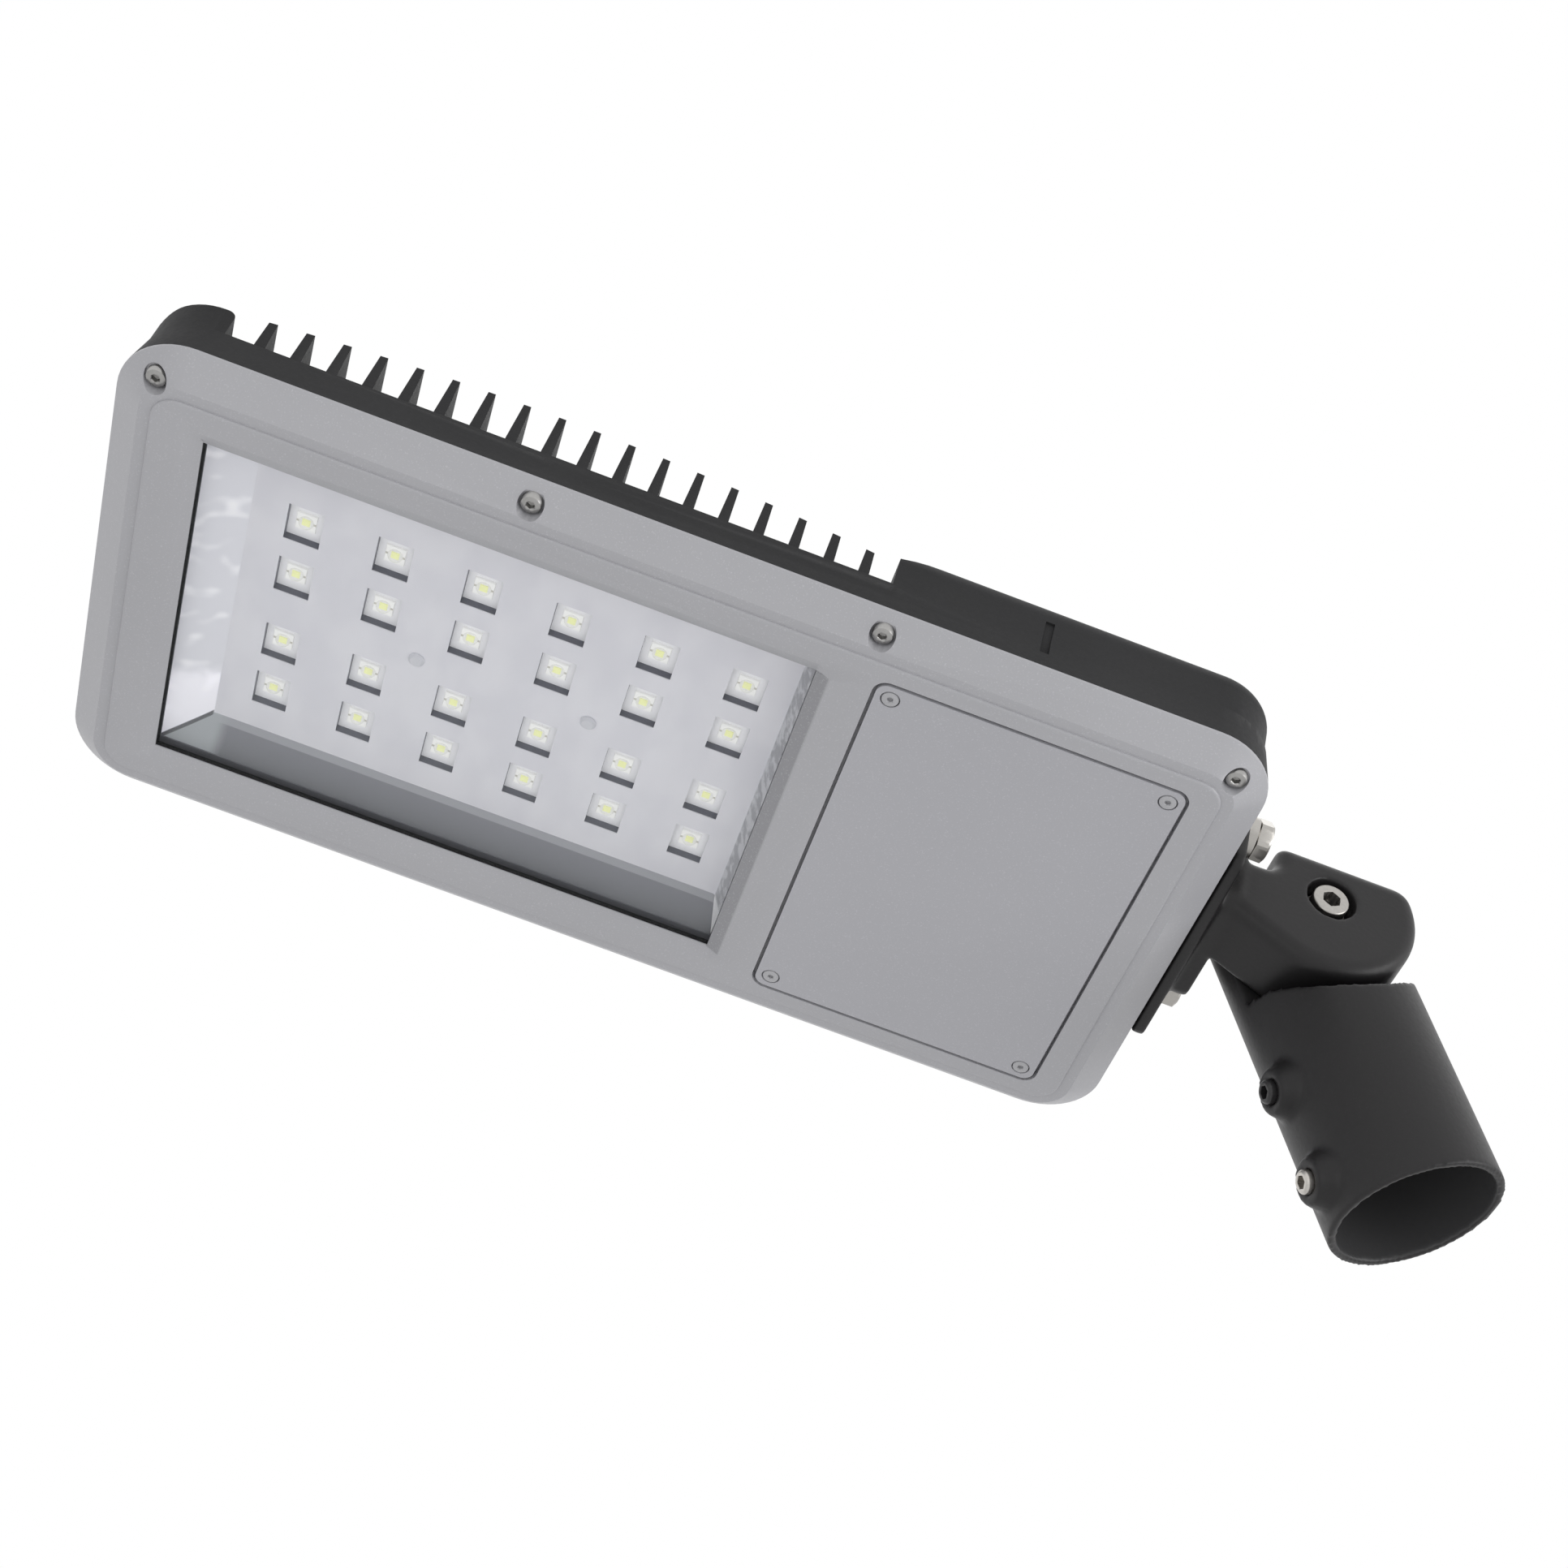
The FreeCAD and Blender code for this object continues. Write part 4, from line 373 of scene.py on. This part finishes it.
def window_seal():
    """Black channel rubber. Its upper lip along the long sides is painted grey in the tone of the
    reflector's far slope, a painted reflection.
    """
    finish = Finish("window_seal_rubber")
    low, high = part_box("glass_gasket")
    skin = finish.noise(SKIN_SIZE, 3.0)
    x, y, z = (finish.along(axis) for axis in "XYZ")
    upper = z.above(high[2] - LIP_FROM, high[2] - LIP_TO)
    inner = 1 - (y * y).above((high[1] - LIP_SIDE_FROM) ** 2, (high[1] - LIP_SIDE_TO) ** 2)
    lip = upper * inner * x.above(low[0] + LIP_END_FROM, low[0] + LIP_END_TO)
    black = finish.blend(skin, srgb(30, 30, 32), srgb(38, 38, 40))
    # painted reflection: the lip takes the grey of the reflector's far slope
    finish.set(Base_Color=finish.blend(lip, black, srgb(112, 112, 119)), Roughness=0.62 + skin * 0.15)
    return finish.bump(skin, SKIN_DEPTH, 0.5).material


def moulded(name, colour, roughness, glow=0.0):
    """Plastic or ceramic. Glow is the strength of an emission in its own colour, a painted light that
    keeps a white one bright in a deep hole.
    """
    finish = Finish(name)
    skin = finish.noise(0.0006, 2.0)
    cloud = finish.noise(0.02, 2.0)
    finish.set(Base_Color=finish.blend(cloud, tuple(v * 0.93 for v in colour), colour),
               Roughness=roughness + skin * 0.1, Emission_Color=colour, Emission_Strength=glow)
    return finish.bump(skin, 0.00002, 0.4).material


seal_black = rubber("seal_rubber", srgb(38, 38, 40))
pad_grey = rubber("thermal_silicone", srgb(150, 158, 166), 0.5)
window_rubber = window_seal()
# painted light: board, tiles and phosphor glow in their own colour against the shade of their holes
board_white = moulded("solder_mask", srgb(250, 250, 253), 0.35, glow=0.14)
tray_screw_paint = moulded("tray_screw_paint", srgb(226, 226, 232), 0.5)
driver_white = moulded("driver_case", srgb(222, 222, 218), 0.4)
terminal_black = moulded("terminal_polyamide", srgb(48, 50, 50), 0.5)
ceramic = moulded("led_ceramic", srgb(252, 252, 250), 0.35, glow=0.2)
phosphor = moulded("led_phosphor", srgb(244, 248, 178), 0.5, glow=0.3)
print("materials so far", len(bpy.data.materials))

# %% [markdown]
# ## The reflector
#
# The tray behind the glass is bright sheet with four slopes. Each slope mirrors another part of the room,
# so each has a tone of its own: the one at the tip glows, the far one is dark. The script reads the
# tray's own box and finds the slopes from it. Real mirror sheet would need a room to mirror, and this
# studio is empty, so the tones are painted reflections, with a painted highlight at the far corner of the
# pole-end slope. The glow at the tip is an emission, a painted light, and the fold and the walls of the
# holes are painted dark as painted shade.

# %% Reflector sheet
SEAL_REACH = 0.0055
TIP_SLOPE, REAR_SLOPE, SIDE_SLOPE = 0.015, 0.0035, 0.012
FLOOR_SHEET = 0.0032
WHITE_FROM, WHITE_TO = 0.036, 0.045      # across the tip slope, towards the far corner
SHADE_FROM, SHADE_TO = 0.001, 0.007      # along the far slope, away from the tip
WALL_RISE_FROM, WALL_RISE_TO = 0.0001, 0.0005
# painted shade: the fold between tip and far slope and the walls of the holes are dark
FOLD_PAINTED_SHADE, HOLE_WALL_PAINTED_SHADE = srgb(84, 84, 90), srgb(84, 84, 98)
tray_low, tray_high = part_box("reflector_tray")
floor_start = tray_low[0] + SEAL_REACH + TIP_SLOPE
floor_end = tray_high[0] - SEAL_REACH - REAR_SLOPE
floor_side = tray_high[1] - SEAL_REACH - SIDE_SLOPE
floor_level = tray_high[2] - FLOOR_SHEET


def reflector_sheet():
    """White satin floor, painted reflections on the slopes with a glowing tip, painted shade on the fold
    and the hole walls.
    """
    finish = Finish("reflector_sheet")
    x, y, z = (finish.along(axis) for axis in "XYZ")
    grain = finish.noise(0.004, 3.0)
    waves = finish.noise(0.014, 2.0, (1, 0.6, 1))
    blotch = finish.noise(0.009, 1.0, (0.7, 1, 1)).above(0.56, 0.78)

    past_tip = (floor_start - x) * (1 / TIP_SLOPE)
    past_side = (y - floor_side) * (1 / SIDE_SLOPE)
    past_rear = (x - floor_end) * (1 / REAR_SLOPE)
    on_tip = past_tip.above(0, 0.03)
    on_side = past_side.above(0, 0.04) * (past_side - past_tip).above(-0.02, 0.02)
    on_rear = past_rear.above(0, 0.1) * (past_rear - past_side).above(-0.02, 0.02)
    on_fold = (past_side - past_tip).between(-0.07, 0.05, 0.04) * past_tip.above(0, 0.04)
    hole_wall_shade = z.above(floor_level + WALL_RISE_FROM, floor_level + WALL_RISE_TO)
    white_end = (y + grain * 0.006).above(WHITE_FROM, WHITE_TO)

    floor = finish.blend(waves.above(0.35, 0.65), srgb(234, 233, 240), srgb(241, 240, 246))
    tip = finish.blend(blotch, srgb(236, 236, 241), srgb(255, 255, 255))
    tip = finish.blend(white_end, tip, srgb(253, 252, 255))
    rear = finish.blend(grain.above(0.4, 0.6), srgb(172, 172, 177), srgb(214, 214, 218))
    # painted highlight at the far corner of the pole-end slope
    rear = finish.blend(past_side.above(-0.1, 0.1), rear, srgb(250, 250, 252))
    side = finish.blend(past_side, srgb(132, 132, 140), srgb(108, 108, 115))
    side = finish.blend(past_side.between(0.05, 0.2, 0.03), side, srgb(166, 166, 173))
    shaded = x.above(floor_start + SHADE_FROM, floor_start + SHADE_TO)
    side = finish.blend(shaded, srgb(176, 180, 184), side)

    tone = floor
    for mask, colour in ((on_tip, tip), (on_side, side), (on_rear, rear), (on_fold, FOLD_PAINTED_SHADE),
                         (hole_wall_shade, HOLE_WALL_PAINTED_SHADE)):
        tone = finish.blend(mask, tone, colour)
    # painted light: the tip slope glows by emission, most at its white end and in its blotches
    glow = finish.blend(white_end * 0.6 + blotch * 0.5, srgb(62, 61, 68), srgb(138, 136, 146))
    lit = on_tip * (past_tip - past_side).above(0.05, 0.09)
    finish.set(Base_Color=tone, Roughness=0.34 + grain * 0.08,
               Emission_Color=finish.blend(lit, (0, 0, 0), glow), Emission_Strength=1.0)
    return finish.bump(waves, 0.0001, 0.3).material


reflector = reflector_sheet()
print("reflector floor from", round(floor_start, 4), "to", round(floor_end, 4), "m")

# %% [markdown]
# ## Glass and clear silicone
#
# The pane and the lenses show what is behind them. Alpha does that here: it lets the lamps through as
# well, so the tray stays lit, where a shader that bends light would leave it in shadow. Fresnel makes
# the pane mirror more the flatter it is looked at.

# %% Glass and clear silicone
def window_pane():
    """Clear glass, which only shows by what it mirrors."""
    finish = Finish("window_glass")
    edge = finish.node("Fresnel", {}, {"IOR": 1.3})
    finish.set(Base_Color=srgb(225, 232, 232), Roughness=0.03, Alpha=edge * 0.5 + 0.01, IOR=1.45)
    return finish.material


def led_lens():
    """Silicone with a faint cloud in it, so that the phosphor shows through."""
    finish = Finish("led_silicone")
    cloud = finish.noise(0.0012, 1.0)
    finish.set(Base_Color=srgb(252, 252, 246), Roughness=0.1, Alpha=cloud * 0.1 + 0.1,
               Coat_Weight=0.3)
    return finish.material


glass = window_pane()
lens_clear = led_lens()
print("materials in all", len(bpy.data.materials))

# %% [markdown]
# ## A finish for every solid
#
# One table says which solid has which finish. A solid whose shape is right already keeps it and is
# done here. The others are replaced in the next steps, and an edge-rounded copy takes its finish
# along.

# %% Give every solid its finish
FINISHES = {
    "heat_sink_housing": dark_coat, "front_frame": grey_coat, "driver_cover": cover_coat,
    "bracket_arm": arm_coat, "pole_spigot": spigot_coat,
    "housing_gasket": seal_black, "glass_gasket": window_rubber, "cover_gasket": seal_black,
    "bracket_gasket": seal_black, "cable_grommet": seal_black, "lead_grommet": seal_black,
    "window_glass": glass, "reflector_tray": reflector, "led_board": board_white,
    "thermal_pad": pad_grey, "led_packages": ceramic, "led_domes": lens_clear,
    "frame_screws": steel, "cover_screws": screw_coat, "board_screws": steel,
    "tray_screws": tray_screw_paint, "driver_screws": steel, "terminal_screws": steel,
    "spigot_set_screws": set_screw_zinc, "bracket_bolts": zinc, "bracket_washers": zinc,
    "bracket_spring_washers": zinc, "pivot_bolt": pivot_zinc, "pivot_head_washer": zinc,
    "pivot_nut_washer": zinc, "pivot_nut": zinc,
    "led_driver": driver_white, "terminal_block": terminal_black,
}
for name, part in nodes.items():
    part.data.materials.clear()
    part.data.materials.append(FINISHES[name])
print("finished", len(nodes), "nodes")

# %% [markdown]
# ## Cast edges
#
# No casting has a knife edge. The two knuckle castings are laid over with a fine grid of equal
# cells, which is then smoothed: outside edges round off and inside corners fill up, as they do in a
# mould. A grid like that would blur the long straight edges of the big plates, so these, and the
# screws of the joint, only get a narrow round on each edge, after their flat faces are joined.

# %% Copies of solids
WELD_REACH = 0.000002


def own_copy(name, body):
    """A new piece with the same surface as a solid of the frame, which it stands for."""
    mesh = nodes[name].data.copy()
    mesh.name = name + "_soft"
    form = bmesh.new()
    form.from_mesh(mesh)
    bmesh.ops.remove_doubles(form, verts=form.verts, dist=WELD_REACH)
    form.to_mesh(mesh)
    form.free()
    item = bpy.data.objects.new(mesh.name, mesh)
    bpy.context.scene.collection.objects.link(item)
    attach(item, body)
    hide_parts(name)
    return item


# %% Castings with soft edges
CAST = {"bracket_arm": "head", "pole_spigot": "spigot"}
GRID_CELL, SMOOTH_PASSES, FACES_KEPT = 0.0009, 7, 0.4


def cast_piece(name, body):
    item = own_copy(name, body)
    grid = item.modifiers.new("grid", "REMESH")
    grid.mode = "VOXEL"
    grid.voxel_size = GRID_CELL
    grid.use_smooth_shade = True
    soft = item.modifiers.new("soft", "SMOOTH")
    soft.factor = 0.5
    soft.iterations = SMOOTH_PASSES
    fewer = item.modifiers.new("fewer", "DECIMATE")
    fewer.ratio = FACES_KEPT


for name, body in CAST.items():
    cast_piece(name, body)
print("softened", len(CAST), "castings on a grid of", GRID_CELL * 1000, "mm")

# %% Plates and screws with narrow rounds
ROUNDED = {
    "heat_sink_housing": ("head", 0.0005), "front_frame": ("head", 0.0006),
    "driver_cover": ("head", 0.0004), "pivot_bolt": ("spigot", 0.0003),
    "spigot_set_screws": ("spigot", 0.0003), "pivot_nut": ("spigot", 0.0003),
}
FLAT_DEGREES, SMOOTH_DEGREES, ROUND_DEGREES = 1.0, 25, 28


def rounded_piece(name, body, width):
    item = own_copy(name, body)
    form = bmesh.new()
    form.from_mesh(item.data)
    bmesh.ops.dissolve_limit(form, angle_limit=math.radians(FLAT_DEGREES), verts=form.verts,
                             edges=form.edges)
    form.to_mesh(item.data)
    form.free()
    item.data.shade_smooth()
    item.data.set_sharp_from_angle(angle=math.radians(SMOOTH_DEGREES))
    edge = item.modifiers.new("edge", "BEVEL")
    edge.width = width
    edge.segments = 2
    edge.limit_method = "ANGLE"
    edge.angle_limit = math.radians(ROUND_DEGREES)
    edge.harden_normals = True


for name, (body, width) in ROUNDED.items():
    rounded_piece(name, body, width)
print("rounded", len(ROUNDED), "pieces")

# %% [markdown]
# ## Turned pieces
#
# A screw is a stack of rings. Each ring has a radius and a height, and a ring with six sides turns
# the same stack into a hexagon: that makes heads and sockets alike. The places of the screws are
# read from the frame, solid by solid.

# %% Solids and rings
RING_POINTS = 48
CREASE_DEGREES = 32


def solids_of(name):
    """Lowest and highest corner of each separate solid of a node."""
    form = bmesh.new()
    form.from_mesh(nodes[name].data)
    bmesh.ops.remove_doubles(form, verts=form.verts, dist=WELD_REACH)
    left = set(form.verts)
    boxes = []
    while left:
        reached, edge = set(), [left.pop()]
        while edge:
            point = edge.pop()
            reached.add(point)
            for link in point.link_edges:
                other = link.other_vert(point)
                if other in left:
                    left.discard(other)
                    edge.append(other)
        low = Vector([min(v.co[k] for v in reached) for k in range(3)])
        high = Vector([max(v.co[k] for v in reached) for k in range(3)])
        boxes.append((low, high))
    form.free()
    return sorted(boxes, key=lambda box: tuple(round(v, 5) for v in box[0]))


def ring_points(radius, height, sides=0):
    """Points of one ring about Z. With sides, radius is the distance to the middle of a flat."""
    points = []
    for step in range(RING_POINTS):
        angle = 2 * math.pi * step / RING_POINTS
        reach = radius
        if sides:
            wedge = 2 * math.pi / sides
            reach = radius / math.cos((angle + wedge / 2) % wedge - wedge / 2)
        points.append(Vector((reach * math.cos(angle), reach * math.sin(angle), height)))
    return points


def add_stack(form, rings, place):
    """Join a stack of rings into one closed surface and move it into place."""
    loops = [[form.verts.new(place @ point) for point in ring_points(*ring)] for ring in rings]
    faces = [form.faces.new(loops[0]), form.faces.new(reversed(loops[-1]))]
    for low, high in zip(loops, loops[1:]):
        for here in range(RING_POINTS):
            there = (here + 1) % RING_POINTS
            faces.append(form.faces.new((low[here], high[here], high[there], low[there])))
    for face in faces:
        face.smooth = True


def finished_piece(name, form, body, slot, finishes, *stands_for):
    """Turn a form into a piece of the object that rides on a body and stands for CAD solids."""
    bmesh.ops.recalc_face_normals(form, faces=form.faces)
    mesh = bpy.data.meshes.new(name)
    form.to_mesh(mesh)
    form.free()
    mesh.set_sharp_from_angle(angle=math.radians(CREASE_DEGREES))
    for finish in finishes:
        mesh.materials.append(finish)
    item = bpy.data.objects.new(name, mesh)
    bpy.context.scene.collection.objects.link(item)
    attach(item, body)
    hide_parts(*stands_for)
    print(name, len(mesh.polygons), "faces")


# %% Screws that look down out of the lit face
def socket_head(radius, height, socket, crown, shank, length):
    """Rings of a round head with a hexagon socket. Height grows away from the seat."""
    return [(shank, -length), (shank, 0), (radius, 0), (radius, height - crown),
            (radius - crown * 0.3, height - crown * 0.3), (radius - crown, height),
            (socket * 1.3, height), (socket * 1.15, height - 0.0001, 6), (socket, height - 0.0003, 6),
            (socket, height * 0.35, 6), (socket * 0.2, height * 0.25)]


def face_screws(name, finish, head_height, socket, crown, shank):
    """Socket is half the width of the socket across its flats, shank is the radius below the head."""
    form = bmesh.new()
    for low, high in solids_of(name):
        middle = (low + high) / 2
        place = (Matrix.Translation((middle.x, middle.y, low.z + head_height))
                 @ Matrix.Rotation(math.pi, 4, "X"))
        rings = socket_head((high.x - low.x) / 2, head_height, socket, crown, shank,
                            high.z - low.z - head_height)
        add_stack(form, rings, place)
    finished_piece(name + "_turned", form, "head", "steel", [finish], name)


face_screws("frame_screws", steel, head_height=0.003, socket=0.00125, crown=0.0012, shank=0.002)
face_screws("cover_screws", screw_coat, head_height=0.0017, socket=0.0009, crown=0.0006, shank=0.0015)

# %% [markdown]
# ## Bracket bolts
#
# A hexagon head is turned down at its corners, so it ends in a round face. The stack of rings makes
# that too: round, six-sided, round again. Below the head lie a split spring washer and a plain
# washer. A ring can't have a gap, so the spring washer is a square section led round the bolt.

# %% Hexagon bolts and split washers
BOLT_HEAD, BOLT_HALF_FLATS, BOLT_SHANK = 0.0053, 0.0065, 0.004
WASHER_BORE, SPRING_RISE = 0.0043, 0.0004
SPLIT_GAP, SPLIT_TURN = math.radians(14), 0.9


def hexagon_bolts():
    form = bmesh.new()
    flats, corner = BOLT_HALF_FLATS, BOLT_HALF_FLATS * 0.94
    for low, high in solids_of("bracket_bolts"):
        middle = (low + high) / 2
        place = (Matrix.Translation((high.x - BOLT_HEAD, middle.y, middle.z))
                 @ Matrix.Rotation(math.pi / 2, 4, "Y"))
        add_stack(form, [(BOLT_SHANK, low.x - high.x + BOLT_HEAD), (BOLT_SHANK, 0), (corner, 0),
                         (flats, 0.0005, 6), (flats, BOLT_HEAD - 0.0009, 6), (corner, BOLT_HEAD),
                         (flats * 0.5, BOLT_HEAD), (flats * 0.45, BOLT_HEAD - 0.0003)], place)
    finished_piece("bracket_bolts_turned", form, "head", "steel", [zinc], "bracket_bolts")


def split_washers():
    """One square section swept round the bolt, with a gap, and rising a little on the way."""
    form = bmesh.new()
    for low, high in solids_of("bracket_spring_washers"):
        middle = (low + high) / 2
        outer, inner = (high.y - low.y) / 2, WASHER_BORE
        sections = []
        for step in range(RING_POINTS):
            share = step / (RING_POINTS - 1)
            angle = SPLIT_GAP / 2 + (2 * math.pi - SPLIT_GAP) * share + SPLIT_TURN
            rise = (share - 0.5) * SPRING_RISE
            corners = []
            for radius, side in ((inner, low.x), (outer, low.x), (outer, high.x), (inner, high.x)):
                side = min(max(side + rise, low.x), high.x)
                corners.append(form.verts.new((side, middle.y + radius * math.cos(angle),
                                               middle.z + radius * math.sin(angle))))
            sections.append(corners)
        form.faces.new(sections[0])
        form.faces.new(reversed(sections[-1]))
        for one, two in zip(sections, sections[1:]):
            for here in range(4):
                there = (here + 1) % 4
                form.faces.new((one[here], two[here], two[there], one[there]))
    finished_piece("split_washers", form, "head", "steel", [zinc], "bracket_spring_washers")


hexagon_bolts()
split_washers()

# %% [markdown]
# ## Light sources
#
# Each light source is a small white ceramic tile with a tinned pad at each side, a square of yellow
# phosphor on it, and a silicone dome over that, clear enough to show the phosphor. The tiles are
# plates with one bevel, because at this size a second one is never seen, and the domes are turned
# like the screws.

# %% Light sources
TILE_EDGE = 0.0002
PHOSPHOR_HALF, PHOSPHOR_RISE, PHOSPHOR_EDGE = 0.00135, 0.0003, 0.0001
PAD_RISE, PAD_EDGE = 0.00005, 0.00002
SUNK = 0.0001                # how far phosphor and pads reach into the tile
DOME_DEGREES = (0, 12, 24, 36, 48, 60, 70, 79, 86)


def add_tile(form, middle, half, low, high, edge, finish):
    """A square plate with a narrow bevel round its visible face, which looks down."""
    rings = []
    for reach, level in ((half, high), (half, low + edge), (half - edge, low)):
        rings.append([form.verts.new((middle.x + sx * reach, middle.y + sy * reach, level))
                      for sx, sy in ((-1, -1), (1, -1), (1, 1), (-1, 1))])
    faces = [form.faces.new(rings[0]), form.faces.new(rings[-1])]
    for one, two in zip(rings, rings[1:]):
        for here in range(4):
            there = (here + 1) % 4
            faces.append(form.faces.new((one[here], one[there], two[there], two[here])))
    for face in faces:
        face.material_index = finish


def light_sources():
    tiles, domes = bmesh.new(), bmesh.new()
    for low, high in solids_of("led_packages"):
        middle = (low + high) / 2
        half = (high.x - low.x) / 2
        add_tile(tiles, middle, half, low.z, high.z, TILE_EDGE, 0)
        add_tile(tiles, middle, PHOSPHOR_HALF, low.z - PHOSPHOR_RISE, low.z + SUNK, PHOSPHOR_EDGE, 1)
        for side in (-1, 1):
            pad = middle + Vector((side * half * 0.82, 0, 0))
            add_tile(tiles, pad, half * 0.12, low.z - PAD_RISE, low.z + SUNK, PAD_EDGE, 2)
    for low, high in solids_of("led_domes"):
        middle = (low + high) / 2
        radius, height = (high.x - low.x) / 2, high.z - low.z
        rings = [(radius * math.cos(t), height * math.sin(t)) for t in map(math.radians, DOME_DEGREES)]
        place = Matrix.Translation((middle.x, middle.y, high.z)) @ Matrix.Rotation(math.pi, 4, "X")
        add_stack(domes, rings, place)
    finished_piece("led_tiles", tiles, "head", "led_ceramic", [ceramic, phosphor, tinned], "led_packages")
    finished_piece("led_lenses", domes, "head", "led_dome", [lens_clear], "led_domes")


light_sources()

# %% [markdown]
# ## Studio
#
# The head hangs in the air as it would on its pole, so the floor lies well below it and below the
# camera. The background is white because floor and world are white to the camera, not because there
# is more light on the object. Mirrors and glass see the same white world. The floor keeps a share of
# its own matt shading, and with it the object's shadow.

# %% Floor and world
FLOOR_DROP, FLOOR_REACH, FLOOR_WHITE = 1.6, 6.0, 0.85
WORLD_LEVEL = 0.81


def make_floor():
    mesh = bpy.data.meshes.new("floor")
    corners = [(x * FLOOR_REACH, y * FLOOR_REACH, -FLOOR_DROP)
               for x, y in ((-1, -1), (1, -1), (1, 1), (-1, 1))]
    mesh.from_pydata(corners, [], [(0, 1, 2, 3)])
    floor = bpy.data.objects.new("floor", mesh)
    bpy.context.scene.collection.objects.link(floor)
    finish = Finish("pale_floor")
    finish.set(Base_Color=srgb(236, 236, 236), Roughness=0.8)
    white = finish.node("Emission", {}, {"Color": (1, 1, 1), "Strength": 1.0})
    matt = Field(finish, finish.shader.outputs["BSDF"])
    shown = finish.node("MixShader", {}, [finish.node("LightPath") * FLOOR_WHITE, matt, white])
    finish.tree.links.new(shown.socket, finish.tree.nodes["Material Output"].inputs["Surface"])
    mesh.materials.append(finish.material)


def make_world(level):
    """White to camera, glass and mirror rays, and this level of light to everything else."""
    world = bpy.data.worlds.new("studio")
    bpy.context.scene.world = world
    world.use_nodes = True
    tree = world.node_tree
    back = tree.nodes["Background"]
    back.inputs["Color"].default_value = (1, 1, 1, 1)
    rays = tree.nodes.new("ShaderNodeLightPath")
    seen = tree.nodes.new("ShaderNodeMath")
    seen.operation = "MAXIMUM"
    tree.links.new(rays.outputs["Is Camera Ray"], seen.inputs[0])
    clear = tree.nodes.new("ShaderNodeMath")
    clear.operation = "MAXIMUM"
    tree.links.new(rays.outputs["Is Transmission Ray"], clear.inputs[0])
    tree.links.new(rays.outputs["Is Glossy Ray"], clear.inputs[1])
    tree.links.new(clear.outputs[0], seen.inputs[1])
    strength = tree.nodes.new("ShaderNodeMapRange")
    strength.inputs["To Min"].default_value = level
    strength.inputs["To Max"].default_value = 1.0
    tree.links.new(seen.outputs[0], strength.inputs["Value"])
    tree.links.new(strength.outputs[0], back.inputs["Strength"])


make_floor()
make_world(WORLD_LEVEL)
print("floor", FLOOR_DROP, "m below the mouth of the spigot, world at", WORLD_LEVEL)

# %% [markdown]
# ## Lamps
#
# Three wide lamps only add a soft slope of light to the even world: from below the tip, from the
# pole end and from above. They are weak, so that a colour still shows about as it is written.

# %% Lamps
AIM = (-0.28, 0.0, 0.08)
LAMPS = {
    "front_low": {"place": (-0.9, -1.5, -1.1), "size": (1.4, 1.0), "watts": 3},
    "right_side": {"place": (1.3, -0.7, -0.2), "size": (0.8, 1.2), "watts": 9},
    "overhead": {"place": (-0.3, 0.5, 1.9), "size": (2.0, 1.4), "watts": 8},
}


def lamp(name, place, size, watts):
    light = bpy.data.lights.new(name, "AREA")
    light.shape = "RECTANGLE"
    light.size, light.size_y = size
    light.energy = watts
    item = bpy.data.objects.new(name, light)
    bpy.context.scene.collection.objects.link(item)
    item.location = place
    item.rotation_euler = (Vector(AIM) - Vector(place)).to_track_quat("-Z", "Y").to_euler()


for name, settings in LAMPS.items():
    lamp(name, **settings)
bpy.context.scene.view_settings.view_transform = "Standard"
print("lamps", len(LAMPS))
